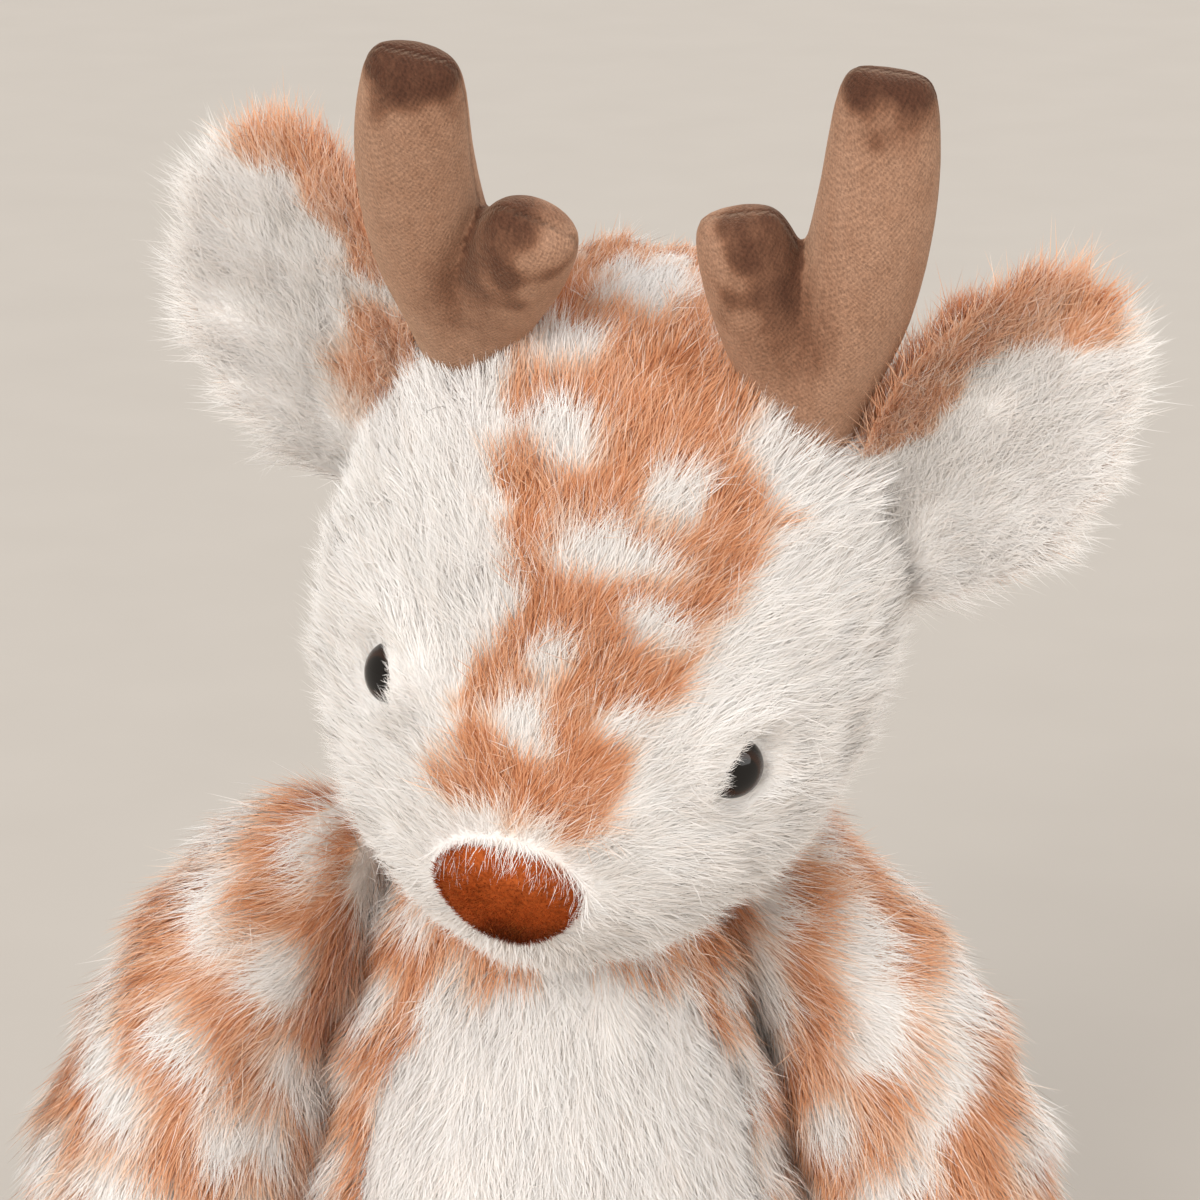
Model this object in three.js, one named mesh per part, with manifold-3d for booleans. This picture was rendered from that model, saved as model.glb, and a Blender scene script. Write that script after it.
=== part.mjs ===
// A seated plush deer: fur covers over wads of stuffing, with velour antlers, nose and hooves.
// Millimetres, +Z up. The toy faces -Y, and its own left is +X. The origin is under its seat.
import * as THREE from 'three';
import { mergeVertices } from 'three/addons/utils/BufferGeometryUtils.js';
import Module from 'manifold-3d';

const wasm = await Module();
wasm.setup();

// Cloth, gaps and cuts
const pile = 4.5; // fur lying on its backing
const backing = 1; // woven backing under the fur
const velour = 1.4; // short-napped cloth of the antlers, nose and hooves
const seamGap = 0.3; // between pieces that are sewn or lie together
const swingGap = 0.7; // between a piece and what it swings against
const standDepth = 0.5; // how deep the forms that stand are cut flat
const beyond = 400; // overrun of the flat cuts

// Torso
const torsoHalfWidth = 49;
const torsoHalfDepth = 45;
const torsoBelow = 56; // from the widest level down to the seat
const torsoAbove = 108; // from the widest level up into the neck
const torsoForward = 2;
const torsoBluntShare = 0.8;
const torsoSeatShare = 0.5;
const torsoDrawShares = [0.26, 0.24]; // of the width and depth, taken off at the shoulders
const torsoDrawSpanShares = [0, 0.9];
const bellyTop = 129; // height of the white panel's top
const bellyBottom = 5;
const bellyHalfWidth = 42;
const bellyShares = [[0, 0], [0.62, 0.03], [0.98, 0.2], [1, 0.42], [0.93, 0.66], [0.62, 0.88], [0, 1]];
const pouchRadius = 30;
const pouchHalfHeight = 13;
const pouchFloor = 4; // stuffing under the pellets

// Neck: a ball that the head rolls on
const neckRadius = 27;
const neckHeight = 150;
const neckSide = 4;
const neckForward = 3;
const neckWall = 5;
const neckMouth = 12; // radius of the cover's two openings
const headSwings = { turn: [-12, 45], tilt: [-22, 4], nod: [-40, 0] }; // degrees from how it is sewn on

// Head, in its own frame: its face looks along -Y
const headHalfWidth = 52;
const headHalfHeight = 50;
const faceReach = 70;
const napeReach = 62;
const headForward = 6;
const headLift = 2;
const cheekDraw = 11;
const muzzleDraw = 12;
const browDrop = 18;
const headBluntShare = 0.8;
const cheekSpanShares = [0.3, 1.05];
const muzzleSpanShares = [0.05, 0.9];
const browSpanShares = [-0.1, 0.9];
const headSide = 13;
const headAhead = 30;
const headHeight = 206;
const headTurn = -20; // degrees, about the upright axis
const headTilt = 13;
const headNod = 34.5;

// Eyes and nose
const eyeRadius = 6;
const eyeRise = 4.6; // how far the dome stands off the backing
const eyeAheadShare = 0.6; // of the way from the ears' level to the muzzle's tip
const eyeAngle = 35; // degrees up from the side
const stemRadius = 1.6;
const stemLength = 9;
const washerRadius = 6.5;
const washerThickness = 2;
const noseHalfWidth = 14;
const noseHalfHeight = 12;
const noseRise = 6;
const noseUp = 4; // degrees above the muzzle's tip
const noseSide = -1;

// Antlers
const antlerHeight = 75; // from the foot to the beam's tip
const beamRadius = 11.3;
const tineRadius = 9.8;
const antlerSpread = 32;
const antlerAside = -4; // both stand a little towards the toy's right
const antlerBack = 8;
const antlerFoot = 42; // height of the foot in the head's frame
const beamShares = [[0, 0, -0.1], [0.02, 0, 0.12], [0.09, 0.02, 0.38], [0.12, 0.05, 0.66], [0.11, 0.1, 1]];
const tineShares = [[0, 0, -0.04], [-0.04, 0, 0.16], [-0.13, -0.01, 0.38], [-0.21, -0.02, 0.6]];
const antlerLeans = { left: [-12, -5], right: [9, -5] }; // degrees back (-) and towards +X
const antlerBluntShare = 0.5;
const antlerSwing = 8; // degrees either way

// Ears
const earLength = 73;
const earHalfWidth = 22.5;
const earSheet = 3.9; // one fur sheet
const earCup = 8;
const earRootSide = 50;
const earRootBack = 0;
const earRootHeight = 1;
const earNarrowShare = 0.3; // how much slimmer the root is than the round end
const earLeanBack = 25; // degrees
const earSplays = { left: 18, right: 29 }; // degrees outwards
const earLifts = { left: 9, right: 0 };
const earCurls = { left: 9, right: 2 }; // how far the upper edge rolls forwards
const earSwing = 30; // degrees outwards
const earParting = 0.6; // between its two sheets

// Arms
const armReach = 118;
const armRootRadius = 14;
const armRadius = 22;
const armSide = 44;
const armForward = 3;
const armHeights = { left: 128, right: 134 };
const armShares = [[0, 0, 0.06], [0.17, -0.02, -0.2], [0.285, -0.06, -0.5], [0.36, -0.1, -0.78], [0.37, -0.12, -0.98]];
const armSwellShare = 0.45;
const armSwing = [-20, 80]; // degrees back and forwards

// Flat seat round the hinge, where a limb is sewn to the torso's side
const seatRadius = 5;
const seatRise = 0.6;

// Legs
const legReach = 132;
const legRootRadius = 20;
const legRadius = 23.5;
const hipSide = 30;
const hipForward = 12;
const legShares = [[0, 0, 0], [0.02, -0.33, 0], [0.06, -0.68, 0], [0.1, -1, 0]];
const legSwellShare = 0.6;
const legSwing = [-5, 80]; // degrees up and down

// Hooves close the arms and legs
const hoofShare = 0.86; // of a limb's line, where its hoof begins
const limbBluntShare = 0.56;

// Tail
const tailLength = 32;
const tailRadius = 11;
const tailHeight = 34;
const tailSink = 8; // how far its root starts inside the torso's back
const tailShares = [[0, 0, 0], [0, 0.5, 0.12], [0, 0.9, 0.4]];
const tailBluntShare = 0.7;
const tailSwing = [-15, 30];

// Care label, blank
const labelWidth = 16;
const labelLength = 22;
const labelThickness = 0.8;
const labelSide = 20;
const labelHeight = 16;

// Degrees between the places where a swinging piece is cut clear
const sweepStep = 6;
const headSweepStep = 15;

// Faces round each form and along it
const facets = {
  torso: [22, 14],
  torsoInside: [12, 8],
  pouch: [12, 6],
  neck: [16, 10],
  neckInside: [20, 12],
  socket: [18, 12],
  head: [26, 16],
  headRoom: [20, 12],
  headInside: [14, 8],
  nose: [14, 8],
  antler: [12, 9],
  antlerInside: [8, 7],
  ear: [18, 6],
  limb: [14, 10],
  limbInside: [10, 7],
  tail: [12, 7],
  tailInside: [8, 5],
};
const turnedSides = 12;
const domeSteps = 4;
const bellySteps = 12;

const materials = {
  tanFur: new THREE.MeshStandardMaterial({ color: 0xd79a6c, roughness: 0.95, metalness: 0 }),
  whiteFur: new THREE.MeshStandardMaterial({ color: 0xf6f1ea, roughness: 0.95, metalness: 0 }),
  velour: new THREE.MeshStandardMaterial({ color: 0x9a6f54, roughness: 0.9, metalness: 0 }),
  noseVelvet: new THREE.MeshStandardMaterial({ color: 0x9c430f, roughness: 0.85, metalness: 0 }),
  eye: new THREE.MeshStandardMaterial({ color: 0x0b0908, roughness: 0.08, metalness: 0 }),
  washer: new THREE.MeshStandardMaterial({ color: 0xe8e6e0, roughness: 0.5, metalness: 0 }),
  stuffing: new THREE.MeshStandardMaterial({ color: 0xf4f4f2, roughness: 1, metalness: 0 }),
  pouch: new THREE.MeshStandardMaterial({ color: 0xd9cdb8, roughness: 0.9, metalness: 0 }),
  label: new THREE.MeshStandardMaterial({ color: 0xfafafa, roughness: 0.6, metalness: 0 }),
};

const { degToRad, lerp, smoothstep } = THREE.MathUtils;

// Solids

function solid(geometry, place = new THREE.Matrix4()) {
  const bare = geometry.clone().applyMatrix4(place);
  bare.deleteAttribute('normal');
  bare.deleteAttribute('uv');
  const merged = mergeVertices(bare);
  return new wasm.Manifold(new wasm.Mesh({
    numProp: 3,
    vertProperties: new Float32Array(merged.attributes.position.array),
    triVerts: new Uint32Array(merged.index.array),
  }));
}

const joined = (body, other) => body.add(other);

// A unit sphere, whose ends lie on its y axis, with each of its points carried to its place
function form(faces, carry, place) {
  const geometry = new THREE.SphereGeometry(1, ...faces);
  const points = geometry.attributes.position;
  const point = new THREE.Vector3();
  for (let i = 0; i < points.count; i += 1) {
    carry(point.fromBufferAttribute(points, i));
    points.setXYZ(i, point.x, point.y, point.z);
  }
  return solid(geometry, place);
}

// What a point's distance from the y axis is multiplied by, to round the form's ends less
function blunt(point, share) {
  const girth = Math.hypot(point.x, point.z);
  return girth > 0 ? girth ** (share - 1) : 0;
}

function ball(radius, centre, faces) {
  return solid(new THREE.SphereGeometry(radius, ...faces).translate(centre.x, centre.y, centre.z));
}

// A ball whose flat faces all lie outside the radius, to cut room with
function ballRoom(radius, centre, [around, along]) {
  const inset = Math.cos(Math.PI / around) * Math.cos(Math.PI / (2 * along));
  return ball(radius / inset, centre, [around, along]);
}

// Everything on the far side of a plane
function farSide(point, normal) {
  const block = new THREE.BoxGeometry(beyond, beyond, beyond).translate(0, beyond / 2, 0);
  const turn = new THREE.Quaternion().setFromUnitVectors(new THREE.Vector3(0, 1, 0), normal);
  return solid(block.applyQuaternion(turn).translate(point.x, point.y, point.z));
}

const ground = farSide(new THREE.Vector3(), new THREE.Vector3(0, 0, -1));

function turnAbout(pivot, axis, degrees) {
  const there = new THREE.Matrix4().makeTranslation(pivot);
  const back = new THREE.Matrix4().makeTranslation(pivot.clone().negate());
  const turn = new THREE.Matrix4().makeRotationAxis(axis, degToRad(degrees));
  return there.multiply(turn).multiply(back);
}

function anglesOver([from, to], step) {
  const steps = Math.ceil((to - from) / step);
  return Array.from({ length: steps + 1 }, (_, i) => lerp(from, to, i / steps));
}

// The room that a still neighbour takes up as a swinging piece sees it over its whole swing
function swept(makeNeighbour, pivot, axis, swing) {
  const angles = anglesOver(swing, sweepStep);
  return angles.map((angle) => makeNeighbour(turnAbout(pivot, axis, -angle))).reduce(joined);
}

function mesh(name, body, material) {
  const { vertProperties, triVerts } = body.getMesh();
  const geometry = new THREE.BufferGeometry();
  geometry.setAttribute('position', new THREE.BufferAttribute(vertProperties, 3));
  geometry.setIndex(new THREE.BufferAttribute(triVerts, 1));
  geometry.computeVertexNormals();
  const result = new THREE.Mesh(geometry, material);
  result.name = name;
  return result;
}

// Torso

const torsoLevel = torsoBelow + pile - standDepth;
const neckCentre = new THREE.Vector3(neckSide, -neckForward, neckHeight);

function torsoForm(grow, faces, place) {
  return form(faces, (point) => {
    const up = point.y;
    const swell = blunt(point, up < 0 ? torsoSeatShare : torsoBluntShare);
    const draw = smoothstep(up, ...torsoDrawSpanShares);
    const halfWidth = torsoHalfWidth * (1 - torsoDrawShares[0] * draw) + grow;
    const halfDepth = torsoHalfDepth * (1 - torsoDrawShares[1] * draw) + grow;
    const reach = (up < 0 ? torsoBelow : torsoAbove) + grow;
    point.set(
      point.x * swell * halfWidth,
      -point.z * swell * halfDepth - torsoForward,
      torsoLevel + up * reach,
    );
  }, place);
}

const torsoAsSeen = (place) => torsoForm(pile + swingGap, facets.torso, place);

// The torso's half width and half depth at a height
function torsoGirth(height, grow) {
  const reach = height < torsoLevel ? torsoBelow : torsoAbove;
  const up = (height - torsoLevel) / (reach + grow);
  const swell = Math.max(1 - up * up, 0) ** ((up < 0 ? torsoSeatShare : torsoBluntShare) / 2);
  const draw = smoothstep(up, ...torsoDrawSpanShares);
  return [torsoHalfWidth, torsoHalfDepth].map((half, i) => (half * (1 - torsoDrawShares[i] * draw) + grow) * swell);
}

// The belly's outline, as a column that runs forwards from the middle of the torso
function bellyColumn(grow) {
  const tall = bellyTop - bellyBottom + 2 * grow;
  const side = bellyShares.map(([across, up]) => new THREE.Vector2(
    across * (bellyHalfWidth + grow),
    bellyBottom - grow + up * tall,
  ));
  const half = new THREE.SplineCurve(side).getPoints(bellySteps);
  const outline = [...half, ...half.slice(1, -1).reverse().map(({ x, y }) => new THREE.Vector2(-x, y))];
  const column = new THREE.ExtrudeGeometry(new THREE.Shape(outline), { depth: beyond, bevelEnabled: false });
  return solid(column.rotateX(degToRad(90)));
}

function torsoPieces() {
  const headRoom = headSweep().add(ballRoom(neckRadius + swingGap, neckCentre, facets.socket));
  const shell = torsoForm(pile, facets.torso)
    .subtract(torsoForm(-backing, facets.torsoInside))
    .subtract(headRoom)
    .subtract(ground);
  const pouchHeight = pile - standDepth + backing + seamGap + pouchFloor + pouchHalfHeight;
  const pouch = (grow) => form(facets.pouch, (point) => point.set(
    point.x * (pouchRadius + grow),
    -point.z * (pouchRadius + grow) - torsoForward,
    pouchHeight + point.y * (pouchHalfHeight + grow),
  ));
  const inside = torsoForm(-backing - seamGap, facets.torsoInside).subtract(headRoom).subtract(pouch(seamGap));
  // a slot up to the pellets, through which they are filled
  const slot = farSide(new THREE.Vector3(0, 0, pouchHeight), new THREE.Vector3(0, 0, -1))
    .intersect(solid(new THREE.CylinderGeometry(pouchHalfHeight, pouchHalfHeight, beyond, turnedSides)
      .rotateX(degToRad(90)).translate(0, -torsoForward, 0)));
  return [
    mesh('body_cover', shell.subtract(bellyColumn(seamGap)), materials.tanFur),
    mesh('belly_panel', shell.intersect(bellyColumn(0)), materials.whiteFur),
    mesh('body_stuffing', inside.subtract(slot), materials.stuffing),
    mesh('pellet_pouch', pouch(0), materials.pouch),
    mesh('care_label', labelBody(), materials.label),
  ];
}

function labelBody() {
  const depth = torsoHalfDepth + pile + labelLength;
  const tag = new THREE.BoxGeometry(labelWidth, depth, labelThickness)
    .translate(labelSide, depth / 2 - torsoForward, labelHeight);
  return solid(tag)
    .subtract(torsoForm(pile + seamGap, facets.torso))
    .subtract(farSide(new THREE.Vector3(0, labelEnd(), 0), new THREE.Vector3(0, 1, 0)));
}

function labelEnd() {
  const [halfWidth, halfDepth] = torsoGirth(labelHeight, pile);
  return halfDepth * Math.sqrt(Math.max(1 - (labelSide / halfWidth) ** 2, 0)) - torsoForward + labelLength;
}

// Neck

function neckPieces() {
  const mouth = solid(new THREE.CylinderGeometry(neckMouth, neckMouth, beyond, turnedSides)
    .rotateX(degToRad(90)).translate(neckCentre.x, neckCentre.y, neckCentre.z));
  const cover = ball(neckRadius, neckCentre, facets.neck)
    .subtract(ballRoom(neckRadius - neckWall, neckCentre, facets.neckInside))
    .subtract(mouth);
  return [
    mesh('neck_cover', cover, materials.tanFur),
    mesh('neck_stuffing', ball(neckRadius - neckWall - seamGap, neckCentre, facets.neckInside), materials.stuffing),
  ];
}

// Head, worked out in its own frame

const headPlace = new THREE.Matrix4().makeRotationFromEuler(
  new THREE.Euler(degToRad(headNod), degToRad(headTilt), degToRad(headTurn), 'ZYX'),
).setPosition(headSide, -headAhead, headHeight);
const neckInHead = neckCentre.clone().applyMatrix4(headPlace.clone().invert());

function carryHead(point, grow) {
  const ahead = point.y;
  const swell = blunt(point, headBluntShare);
  const halfWidth = headHalfWidth - cheekDraw * smoothstep(ahead, ...cheekSpanShares) + grow;
  const halfHeight = headHalfHeight - muzzleDraw * smoothstep(ahead, ...muzzleSpanShares) + grow;
  const reach = (ahead > 0 ? faceReach : napeReach) + grow;
  const level = headLift - browDrop * smoothstep(ahead, ...browSpanShares);
  return point.set(
    -point.x * swell * halfWidth,
    -headForward - ahead * reach,
    level + point.z * swell * halfHeight,
  );
}

function headForm(grow, faces, place) {
  return form(faces, (point) => carryHead(point, grow), place);
}

const headAsSeen = (place) => headForm(pile + swingGap, facets.head, place);

// The room the head takes up over all that the neck lets it do
function headSweep() {
  const upright = new THREE.Vector3(0, 0, 1);
  const ahead = new THREE.Vector3(0, 1, 0).applyAxisAngle(upright, degToRad(headTurn));
  const across = new THREE.Vector3(1, 0, 0).transformDirection(headPlace);
  const nods = anglesOver(headSwings.nod, headSweepStep).map((angle) => turnAbout(neckCentre, across, angle));
  const tilts = anglesOver(headSwings.tilt, headSweepStep).map((angle) => turnAbout(neckCentre, ahead, angle));
  const turns = anglesOver(headSwings.turn, headSweepStep).map((angle) => turnAbout(neckCentre, upright, angle));
  const places = turns.flatMap((turn) => tilts.flatMap((tilt) => nods.map((nod) => (
    turn.clone().multiply(tilt).multiply(nod).multiply(headPlace)
  ))));
  return places.map((place) => headForm(pile + 3 * swingGap, facets.headRoom, place)).reduce(joined);
}

// A place on the head's backing and the way out of it there
function headSpot(aheadShare, angle) {
  const at = (ahead, turn) => carryHead(new THREE.Vector3(
    -Math.sqrt(1 - ahead * ahead) * Math.cos(turn),
    ahead,
    Math.sqrt(1 - ahead * ahead) * Math.sin(turn),
  ), 0);
  const turn = degToRad(angle);
  const nudge = degToRad(1);
  const point = at(aheadShare, turn);
  const forward = at(aheadShare + nudge, turn).sub(point);
  const around = at(aheadShare, turn + nudge).sub(point);
  const normal = around.cross(forward).normalize();
  return { point, normal };
}

// A turned shape, whose axis is Y, stood on a spot of the head with its origin on the backing
function onHead(points, { point, normal }) {
  const turned = new THREE.LatheGeometry(points.map(([r, h]) => new THREE.Vector2(r, h)), turnedSides);
  const turn = new THREE.Quaternion().setFromUnitVectors(new THREE.Vector3(0, 1, 0), normal);
  return solid(turned.applyQuaternion(turn).translate(point.x, point.y, point.z));
}

function eyeBodies(spot) {
  const dome = [];
  for (let step = domeSteps; step >= 0; step -= 1) {
    const lift = degToRad((90 * step) / domeSteps);
    dome.push([eyeRadius * Math.cos(lift), seamGap + (eyeRise - seamGap) * Math.sin(lift)]);
  }
  dome[0][0] = 0;
  const stem = [[0, -stemLength], [stemRadius, -stemLength], [stemRadius, seamGap]];
  const eye = onHead([...stem, ...dome.reverse()], spot);
  const pocket = onHead([[0, -stemLength - seamGap], [stemRadius + seamGap, -stemLength - seamGap],
    [stemRadius + seamGap, 0], [eyeRadius + seamGap, 0], [eyeRadius + pile, 2 * pile], [0, 2 * pile]], spot);
  const low = -backing - seamGap - washerThickness;
  const ring = [[stemRadius + seamGap, low], [washerRadius, low], [washerRadius, low + washerThickness],
    [stemRadius + seamGap, low + washerThickness]];
  const washer = onHead([...ring, ring[0]], spot);
  const washerRoom = onHead([[0, low - seamGap], [washerRadius + seamGap, low - seamGap],
    [washerRadius + seamGap, -backing], [0, -backing]], spot);
  return { eye, pocket, washer, washerRoom };
}

function noseBall(grow) {
  const tip = headSpot(Math.cos(degToRad(noseUp)), 90).point;
  return form(facets.nose, (point) => point.set(
    tip.x + noseSide - point.x * (noseHalfWidth + grow),
    tip.y - point.y * (noseRise + grow),
    tip.z + point.z * (noseHalfHeight + grow),
  ));
}

// Limbs: a line with a radius along it. Each unit point goes to the line's point that lies
// as far along it, and then out across the line by the radius there.
function limbLine(start, reach, shares, mirror) {
  return new THREE.CatmullRomCurve3(shares.map(([x, y, z]) => new THREE.Vector3(
    start.x + x * reach * mirror,
    start.y + y * reach,
    start.z + z * reach,
  )));
}

function limbForm(line, radiusAt, bluntShare, grow, faces, place) {
  return form(faces, (point) => {
    const { x, y, z } = point;
    const t = (1 - y) / 2;
    const radius = (radiusAt(t) + grow) * blunt(point, bluntShare);
    const tangent = line.getTangent(t);
    const side = new THREE.Vector3(1, 0, 0).addScaledVector(tangent, -tangent.x).normalize();
    const other = tangent.clone().cross(side);
    point.copy(line.getPoint(t))
      .addScaledVector(tangent, -y * grow)
      .addScaledVector(side, x * radius)
      .addScaledVector(other, z * radius);
  }, place);
}

// Antlers

function antlerPieces(which, mirror, headRoom) {
  const [back, aside] = antlerLeans[which];
  const foot = new THREE.Vector3(antlerAside + mirror * antlerSpread, antlerBack, antlerFoot);
  const lean = turnAbout(foot, new THREE.Vector3(1, 0, 0), back)
    .multiply(turnAbout(foot, new THREE.Vector3(0, 1, 0), aside));
  const beam = limbLine(foot, antlerHeight, beamShares, mirror);
  const tine = limbLine(foot, antlerHeight, tineShares, mirror);
  const whole = (grow, faces, place = new THREE.Matrix4()) => {
    const stand = place.clone().multiply(lean);
    return limbForm(beam, () => beamRadius, antlerBluntShare, grow, faces, stand)
      .add(limbForm(tine, () => tineRadius, antlerBluntShare, grow, faces, stand));
  };
  const away = swept(headRoom, foot, new THREE.Vector3(0, 1, 0), [-antlerSwing, antlerSwing]);
  const cover = whole(0, facets.antler).subtract(whole(-velour, facets.antlerInside)).subtract(away);
  const wad = whole(-velour - seamGap, facets.antlerInside).subtract(away);
  return {
    pieces: [
      mesh(`antler_${which}_cover`, cover, materials.velour),
      mesh(`antler_${which}_stuffing`, wad, materials.stuffing),
    ],
    asSeen: (place) => whole(swingGap, facets.antler, place),
  };
}

// Ears: a leaf in the head's XZ plane with its root at the origin, cupped, curled and stood up

function earSheetForm(which, mirror, front, grow) {
  const root = new THREE.Vector3(mirror * earRootSide, earRootBack, earRootHeight + earLifts[which]);
  const stand = new THREE.Matrix4().makeTranslation(root)
    .multiply(new THREE.Matrix4().makeRotationX(degToRad(-earLeanBack)))
    .multiply(new THREE.Matrix4().makeRotationY(degToRad(mirror * earSplays[which])));
  return form(facets.ear, (point) => {
    const up = (1 + point.z) / 2;
    const across = -mirror * point.x;
    const halfWidth = earHalfWidth * (1 - earNarrowShare * (1 - up) ** 2) + grow;
    const thick = front ? Math.min(-point.y, 0) : Math.max(-point.y, 0);
    const parting = (front ? -earParting : earParting) / 2;
    const cup = -earCup * across * across;
    const curl = -earCurls[which] * Math.max(-across, 0) ** 2 * up;
    point.set(
      mirror * across * halfWidth,
      thick * earSheet + parting + cup + curl,
      up * earLength,
    );
  }, stand);
}

function earPieces(which, mirror, headRoom, antlerRoom) {
  const root = new THREE.Vector3(mirror * earRootSide, earRootBack, earRootHeight);
  const swing = mirror > 0 ? [0, earSwing] : [-earSwing, 0];
  const axis = new THREE.Vector3(0, 1, 0);
  const away = swept((place) => headRoom(place).add(antlerRoom(place)), root, axis, swing);
  return [
    mesh(`ear_${which}_outer`, earSheetForm(which, mirror, false, 0).subtract(away), materials.tanFur),
    mesh(`ear_${which}_inner`, earSheetForm(which, mirror, true, 0).subtract(away), materials.whiteFur),
  ];
}

function headPieces() {
  const neckRoom = ballRoom(neckRadius + swingGap, neckInHead, facets.socket);
  const left = eyeBodies(headSpot(eyeAheadShare, eyeAngle));
  const right = eyeBodies(headSpot(eyeAheadShare, 180 - eyeAngle));
  const skin = headForm(0, facets.head);
  const cover = headForm(pile, facets.head)
    .subtract(headForm(-backing, facets.headInside))
    .subtract(left.pocket)
    .subtract(right.pocket)
    .subtract(left.washerRoom)
    .subtract(right.washerRoom)
    .subtract(noseBall(seamGap).subtract(skin))
    .subtract(neckRoom);
  const wad = headForm(-backing - seamGap, facets.headInside)
    .subtract(left.washerRoom)
    .subtract(right.washerRoom)
    .subtract(left.pocket)
    .subtract(right.pocket)
    .subtract(neckRoom);
  const noseSeat = headForm(seamGap, facets.head);
  const group = new THREE.Group();
  group.applyMatrix4(headPlace);
  group.add(
    mesh('head_cover', cover, materials.whiteFur),
    mesh('head_stuffing', wad, materials.stuffing),
    mesh('eye_left', left.eye, materials.eye),
    mesh('eye_right', right.eye, materials.eye),
    mesh('eye_left_washer', left.washer, materials.washer),
    mesh('eye_right_washer', right.washer, materials.washer),
    mesh('nose_cover', noseBall(0).subtract(noseBall(-velour)).subtract(noseSeat), materials.noseVelvet),
    mesh('nose_padding', noseBall(-velour - seamGap).subtract(noseSeat), materials.stuffing),
  );
  for (const [which, mirror] of [['left', 1], ['right', -1]]) {
    const antler = antlerPieces(which, mirror, headAsSeen);
    group.add(...antler.pieces, ...earPieces(which, mirror, headAsSeen, antler.asSeen));
  }
  return group;
}

// Arms, legs and tail: cut clear of the torso over their swing

function limbPieces(name, line, radiusAt, away) {
  const edge = line.getPoint(hoofShare);
  const outwards = line.getTangent(hoofShare);
  const tip = farSide(edge, outwards);
  const cuff = farSide(edge.clone().addScaledVector(outwards, -seamGap), outwards);
  const skin = (grow, faces) => limbForm(line, radiusAt, limbBluntShare, grow, faces);
  const hollow = skin(-backing, facets.limbInside);
  const fur = skin(pile, facets.limb).subtract(hollow).subtract(away).subtract(cuff);
  const cup = skin(velour, facets.limb).subtract(hollow).intersect(tip);
  return [
    mesh(`${name}_cover`, fur, materials.tanFur),
    mesh(`${name}_hoof`, cup, materials.velour),
    mesh(`${name}_stuffing`, skin(-backing - seamGap, facets.limbInside).subtract(away), materials.stuffing),
  ];
}

function limbRoom(pivot, swing) {
  const seat = torsoGirth(pivot.z, pile + swingGap)[0] + seatRise;
  const hub = new THREE.CylinderGeometry(seatRadius, seatRadius, 2 * seat, turnedSides)
    .rotateZ(degToRad(90)).translate(0, pivot.y, pivot.z);
  return swept(torsoAsSeen, pivot, new THREE.Vector3(1, 0, 0), swing).add(solid(hub));
}

function armPieces(which, mirror) {
  const shoulder = new THREE.Vector3(mirror * armSide, -armForward, armHeights[which]);
  const line = limbLine(shoulder, armReach, armShares, mirror);
  const radiusAt = (t) => lerp(armRootRadius, armRadius, smoothstep(t, 0, armSwellShare));
  return limbPieces(`arm_${which}`, line, radiusAt, limbRoom(shoulder, [-armSwing[1], -armSwing[0]]));
}

// How far below its line the lowest face of a straight limb lies, over its fur
function limbDepth(radiusAt) {
  const [around, along] = facets.limb;
  const angles = Array.from({ length: along + 1 }, (_, i) => (Math.PI * i) / along);
  const radii = angles.map((angle) => (
    (radiusAt((1 - Math.cos(angle)) / 2) + pile) * Math.sin(angle) ** limbBluntShare
  ));
  return Math.max(...radii) * Math.cos(Math.PI / around);
}

function legPieces(which, mirror) {
  const radiusAt = (t) => lerp(legRootRadius, legRadius, smoothstep(t, 0, legSwellShare));
  const hip = new THREE.Vector3(mirror * hipSide, -hipForward, limbDepth(radiusAt) - standDepth);
  const line = limbLine(hip, legReach, legShares, mirror);
  return limbPieces(`leg_${which}`, line, radiusAt, limbRoom(hip, legSwing).add(ground));
}

function tailPieces() {
  const hinge = new THREE.Vector3(0, torsoGirth(tailHeight, pile)[1] - torsoForward, tailHeight);
  const root = new THREE.Vector3(hinge.x, hinge.y - tailSink, hinge.z);
  const line = limbLine(root, tailLength, tailShares, 1);
  const torsoRoom = (place) => torsoForm(pile + seamGap, facets.torso, place);
  const away = swept(torsoRoom, hinge, new THREE.Vector3(1, 0, 0), tailSwing);
  const puff = (grow, faces) => limbForm(line, () => tailRadius, tailBluntShare, grow, faces);
  const fur = puff(pile, facets.tail).subtract(puff(-backing, facets.tailInside)).subtract(away);
  return [
    mesh('tail_cover', fur, materials.tanFur),
    mesh('tail_stuffing', puff(-backing - seamGap, facets.tailInside).subtract(away), materials.stuffing),
  ];
}

const deer = new THREE.Group();
deer.add(...torsoPieces(), ...neckPieces(), headPieces(), ...tailPieces());
for (const [which, mirror] of [['left', 1], ['right', -1]]) {
  deer.add(...armPieces(which, mirror), ...legPieces(which, mirror));
}

export default deer;
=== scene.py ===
# A seated plush deer: stuffed forms and the fur, velour and plastic on them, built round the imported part.
# Lengths here are millimetres in the part's own frame; makeMesh turns them into metres.
import math

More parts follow.
